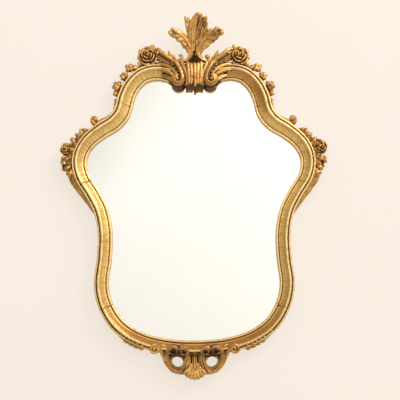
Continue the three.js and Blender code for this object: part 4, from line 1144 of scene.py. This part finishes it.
def apron_side():
    """The right volute and pierced C-scroll."""
    x, z = VOLUTE_X, VOLUTE_Z
    ring = [(HOLE_X + (HOLE_RADIUS + HOLE_WALL) * math.cos(a), HOLE_Z + (HOLE_RADIUS + HOLE_WALL) * math.sin(a), 22)
            for a in np.linspace(0, 2 * math.pi * 1.05, 18)]
    return [
        # the volute: a band that winds round a ball
        turned(x, z, [(8, 9), (10.5, 13), (10.8, 24), (8, 30)], sides=36),
        ball(x + 0.5, z - 0.5, 34.5, 5.0),
        ribbon([(x + 5, z + 6, 36), (x + 9.2, z - 0.5, 35), (x + 6.5, z - 7.5, 35), (x - 0.5, z - 9.6, 35.5),
                (x - 7.5, z - 6.5, 36), (x - 9.6, z + 0.5, 37), (x - 6.5, z + 7.5, 38), (x + 1, z + 9.3, 39),
                (x + 7.5, z + 5.5, 39), (x + 8, z - 1.5, 39)],
               [2.2, 3.0, 3.4, 3.6, 3.8, 4.0, 4.0, 3.8, 3.2, 2.2], 3.6, 8, ROUND_BAND, count=120),
        # the band that runs on round the outside of the scroll to the fan
        ribbon([(x - 3, z + 9.5, 37), (x - 10.5, z + 6.5, 36), (x - 15.5, z - 2, 35), (x - 19.5, z - 11, 33),
                (78, -725, 30), (72.5, -738.5, 27), (62.5, -752, 24), (48.5, -761.5, 22), (34, -765.5, 22),
                (20, -764, 24)],
               [2.4, 4.2, 5.0, 5.4, 5.6, 5.8, 5.8, 5.6, 5.2, 4.0], 7.5, 10, RIM_BAND, count=130),
        ribbon(ring, [HOLE_WALL] * 4, 3, 10, ROUND_BAND, count=130),
        # the C-scroll round the hole, with both ends curled in front of the rail
        ribbon([(43.5, -713, 41), (46.5, -704.5, 43), (55.5, -700.5, 43), (65, -705, 40), (69.5, -719, 35),
                (68.5, -735, 31), (61.5, -751, 28), (46.5, -761, 26), (30, -758.5, 27), (20.5, -746, 31),
                (17.5, -731, 34), (18.5, -716, 38), (24, -704, 43), (33, -702.5, 44), (37.5, -710, 43)],
               [3.8, 4.4, 5.0, 5.2, 5.4, 5.4, 4.8, 4.8, 5.8, 7.4, 8.4, 7.4, 5.4, 4.8, 3.8], 7.0, 14, RIM_BAND,
               count=180),
        ball(46.0, -713.5, 42, 4.0),
        ball(34.5, -712, 44, 4.0),
        # leafage that fills in under the rail between the volute and the scroll
        tube([(94, -702, 22), (84, -706, 24), (74, -708, 24)], [6, 7, 5]),
        blade([(88, -703, 31), (80, -698, 36), (73, -700, 38)], [4, 5, 3], thick=3.8, reed=1.4),
    ]


def apron():
    """Two pierced C-scrolls with volutes, a stem and a fan between them."""
    half = apron_side()
    made = half + mirrored(half) + [
        tube([(-70, -716, 13), (0, -718, 13), (70, -716, 13)], [6, 7, 6], flat=0.7),
        ribbon([(0, -706, 19), (0, -766, 19)], [17, 17], 3, 9, ROUND_BAND, count=40),
        ribbon([(0, -701, 34), (0, -716, 34), (0, -736, 32), (0, -756, 31), (0, -768, 30)], [5, 6, 6.5, 8, 9], 6, 14,
               STALK_BAND),
    ]
    rings = []
    across = np.linspace(-1, 1, FAN_POINTS)
    for down in np.linspace(0, 1, 14):
        reach = FAN_REACH * (0.35 + 0.65 * down**0.8)
        z = FAN_TOP - 24 * down + 8 * across**2 * down
        rings.append(np.concatenate([
            np.stack([reach * across, z, 25 + 3 * down - 5 * across**2], axis=-1),
            np.stack([reach * across[::-1], z[::-1], np.full(FAN_POINTS, 9.0)], axis=-1)]))
    made.append(grid_shell(rings))
    for tip_x, tip_z in FAN_TIPS:
        root_x = 0.18 * tip_x
        made.append(tube([(root_x, -740, 31), (0.45 * tip_x + 0.5 * root_x, -755, 32), (0.85 * tip_x, tip_z + 8, 33),
                          (tip_x, tip_z, 30)], [2.0, 3.2, 5.0, 4.4], flat=0.9))
    return made


carve("gilt_apron", apron(), "apron")


def bead_trail():
    """Beads on a dark band that shrink away from the corner, with scalloped leaf edges outside them."""
    made = [tube([on_face(a, w, 21) for a, w in ((844, 33), (858, 34), (880, 35), (904, 36), (914, 36))],
                 [3, 5.5, 6.5, 7, 5.5], flat=1.1)]
    for length, radius in ((846, 2.6), (855, 3.0), (865, 3.4), (875, 3.8), (885, 4.2), (896, 4.6), (907, 4.6)):
        made.append(ball(*on_face(length, 30 + 0.03 * (length - 846), 33.5), radius))
    for length, half in ((870, 5.2), (882, 5.8), (894, 6.2), (906, 6.2)):
        made.append(blade([on_face(length - 5, 34, 25), on_face(length, 37.5, 27), on_face(length + 5, 40, 25)],
                          [0.8 * half, half, 0.6 * half], thick=3.8, reed=1.4))
    return made


carve_pair("bead_trail", bead_trail(), voxel=0.8)

# ---------- Dirt and painted shade, from how far each point lies behind what stands round it, and painted highlights ---

# Painted shade towards the back of the carvings: none from a depth of 24 mm, full at 6 mm, and less on the shell.
BACK_SHADE_FROM, BACK_SHADE_FULL, BACK_SHADE, SHELL_BACK_SHADE = 24.0, 6.0, 0.5, 0.15
# Each scale is rounds of smoothing and the full depth; each shade is a share, a full depth and cells averaged.
CARVING_SCALES, MOULDING_SCALES = ((6, 0.35), (24, 1.0)), ((3, 0.3), (12, 1.1))
CARVING_SHADE, MOULDING_SHADE = (0.7, 8.0, 5), (0.9, 10.0, 4)
# Places with more painted shade than their depth alone gives, such as under curled tips and in the apron's recesses,
# or a painted highlight where the share is below nought: x, z, radius, share.
SHADE_AND_HIGHLIGHT_SPOTS = [
    (-50, 110, 12, 0.5), (63, 113, 14, 0.5), (27, 148, 12, 0.55), (30, 128, 10, 0.5), (-18, 158, 8, 0.4),
    (-3, 92, 9, -0.4), (-3, 118, 10, -0.4), (-1, 142, 9, -0.3), (-40, 120, 6, -0.3), (3, 48, 12, 0.6),
    (0, -720, 6, 0.7),
]
SIDE_SHADE_SPOTS = [(84, 50, 20, 0.3), (44, -717, 15, 0.75), (74, -716, 8, 0.4), (54, -711, 6, 0.8), (25, -713, 5, 0.8),
               (165, -694, 34, 0.3), (12, -720, 6, 0.7)]
SHADE_AND_HIGHLIGHT_SPOTS += [(side * x, *rest) for x, *rest in SIDE_SHADE_SPOTS for side in (-1, 1)]


def spot_shade_and_highlight(mesh):
    """How much more painted shade each point of a mesh takes from the spots, or how much painted highlight where it
    is less.
    """
    at_x, at_z, _ = datum_places(mesh)
    more = np.zeros(len(at_x))
    for x, z, radius, share in SHADE_AND_HIGHLIGHT_SPOTS:
        more += share * np.clip(1.5 - np.hypot(at_x - x, at_z - z) / radius, 0, 1)
    return more


def paint_dirt_and_shade_on_carvings():
    share, full, reach = CARVING_SHADE
    pieces = relief([moulding[0] for moulding in MOULDINGS], 2)
    whole = averaged(np.maximum(relief(CARVINGS, 1), pieces), reach)
    for obj in CARVINGS:
        depth = datum_places(obj.data)[2]
        behind = np.clip((BACK_SHADE_FROM - depth) / (BACK_SHADE_FROM - BACK_SHADE_FULL), 0, 1)
        back_shade = SHELL_BACK_SHADE if obj.name == "gilt_shell" else BACK_SHADE
        # painted shade behind what stands in front and towards the back, and the spots' painted shade and highlights
        soil_and_shade = share * below(obj, whole, full) + back_shade * behind + spot_shade_and_highlight(obj.data)
        paint_dirt_and_shade(obj.data, edge_pairs(obj.data), CARVING_SCALES, soil_and_shade)


def paint_dirt_and_shade_on_mouldings():
    share, full, reach = MOULDING_SHADE
    near = averaged(relief(CARVINGS, 1), reach)
    for obj, across, rows in MOULDINGS:
        index = np.arange(across * rows).reshape(rows, across)
        pairs = np.stack([index.ravel(), np.roll(index, -1, axis=1).ravel()], axis=1)
        # painted shade where a rail lies behind the carvings, and the spots' painted shade
        paint_dirt_and_shade(obj.data, pairs, MOULDING_SCALES, share * below(obj, near, full) + spot_shade_and_highlight(obj.data))


paint_dirt_and_shade_on_carvings()
paint_dirt_and_shade_on_mouldings()

# ---------- Carried-over nodes ----------

DRESS = {"mirror_glass": GLASS, "backboard": BACK_WOOD, "brad_": STEEL, "tongue": BEECH, "hanger_": BRASS}
for node_name, obj in frame["nodes"].items():
    for part_of_name, material in DRESS.items():
        if part_of_name in node_name:
            obj.data.materials.clear()
            obj.data.materials.append(material)
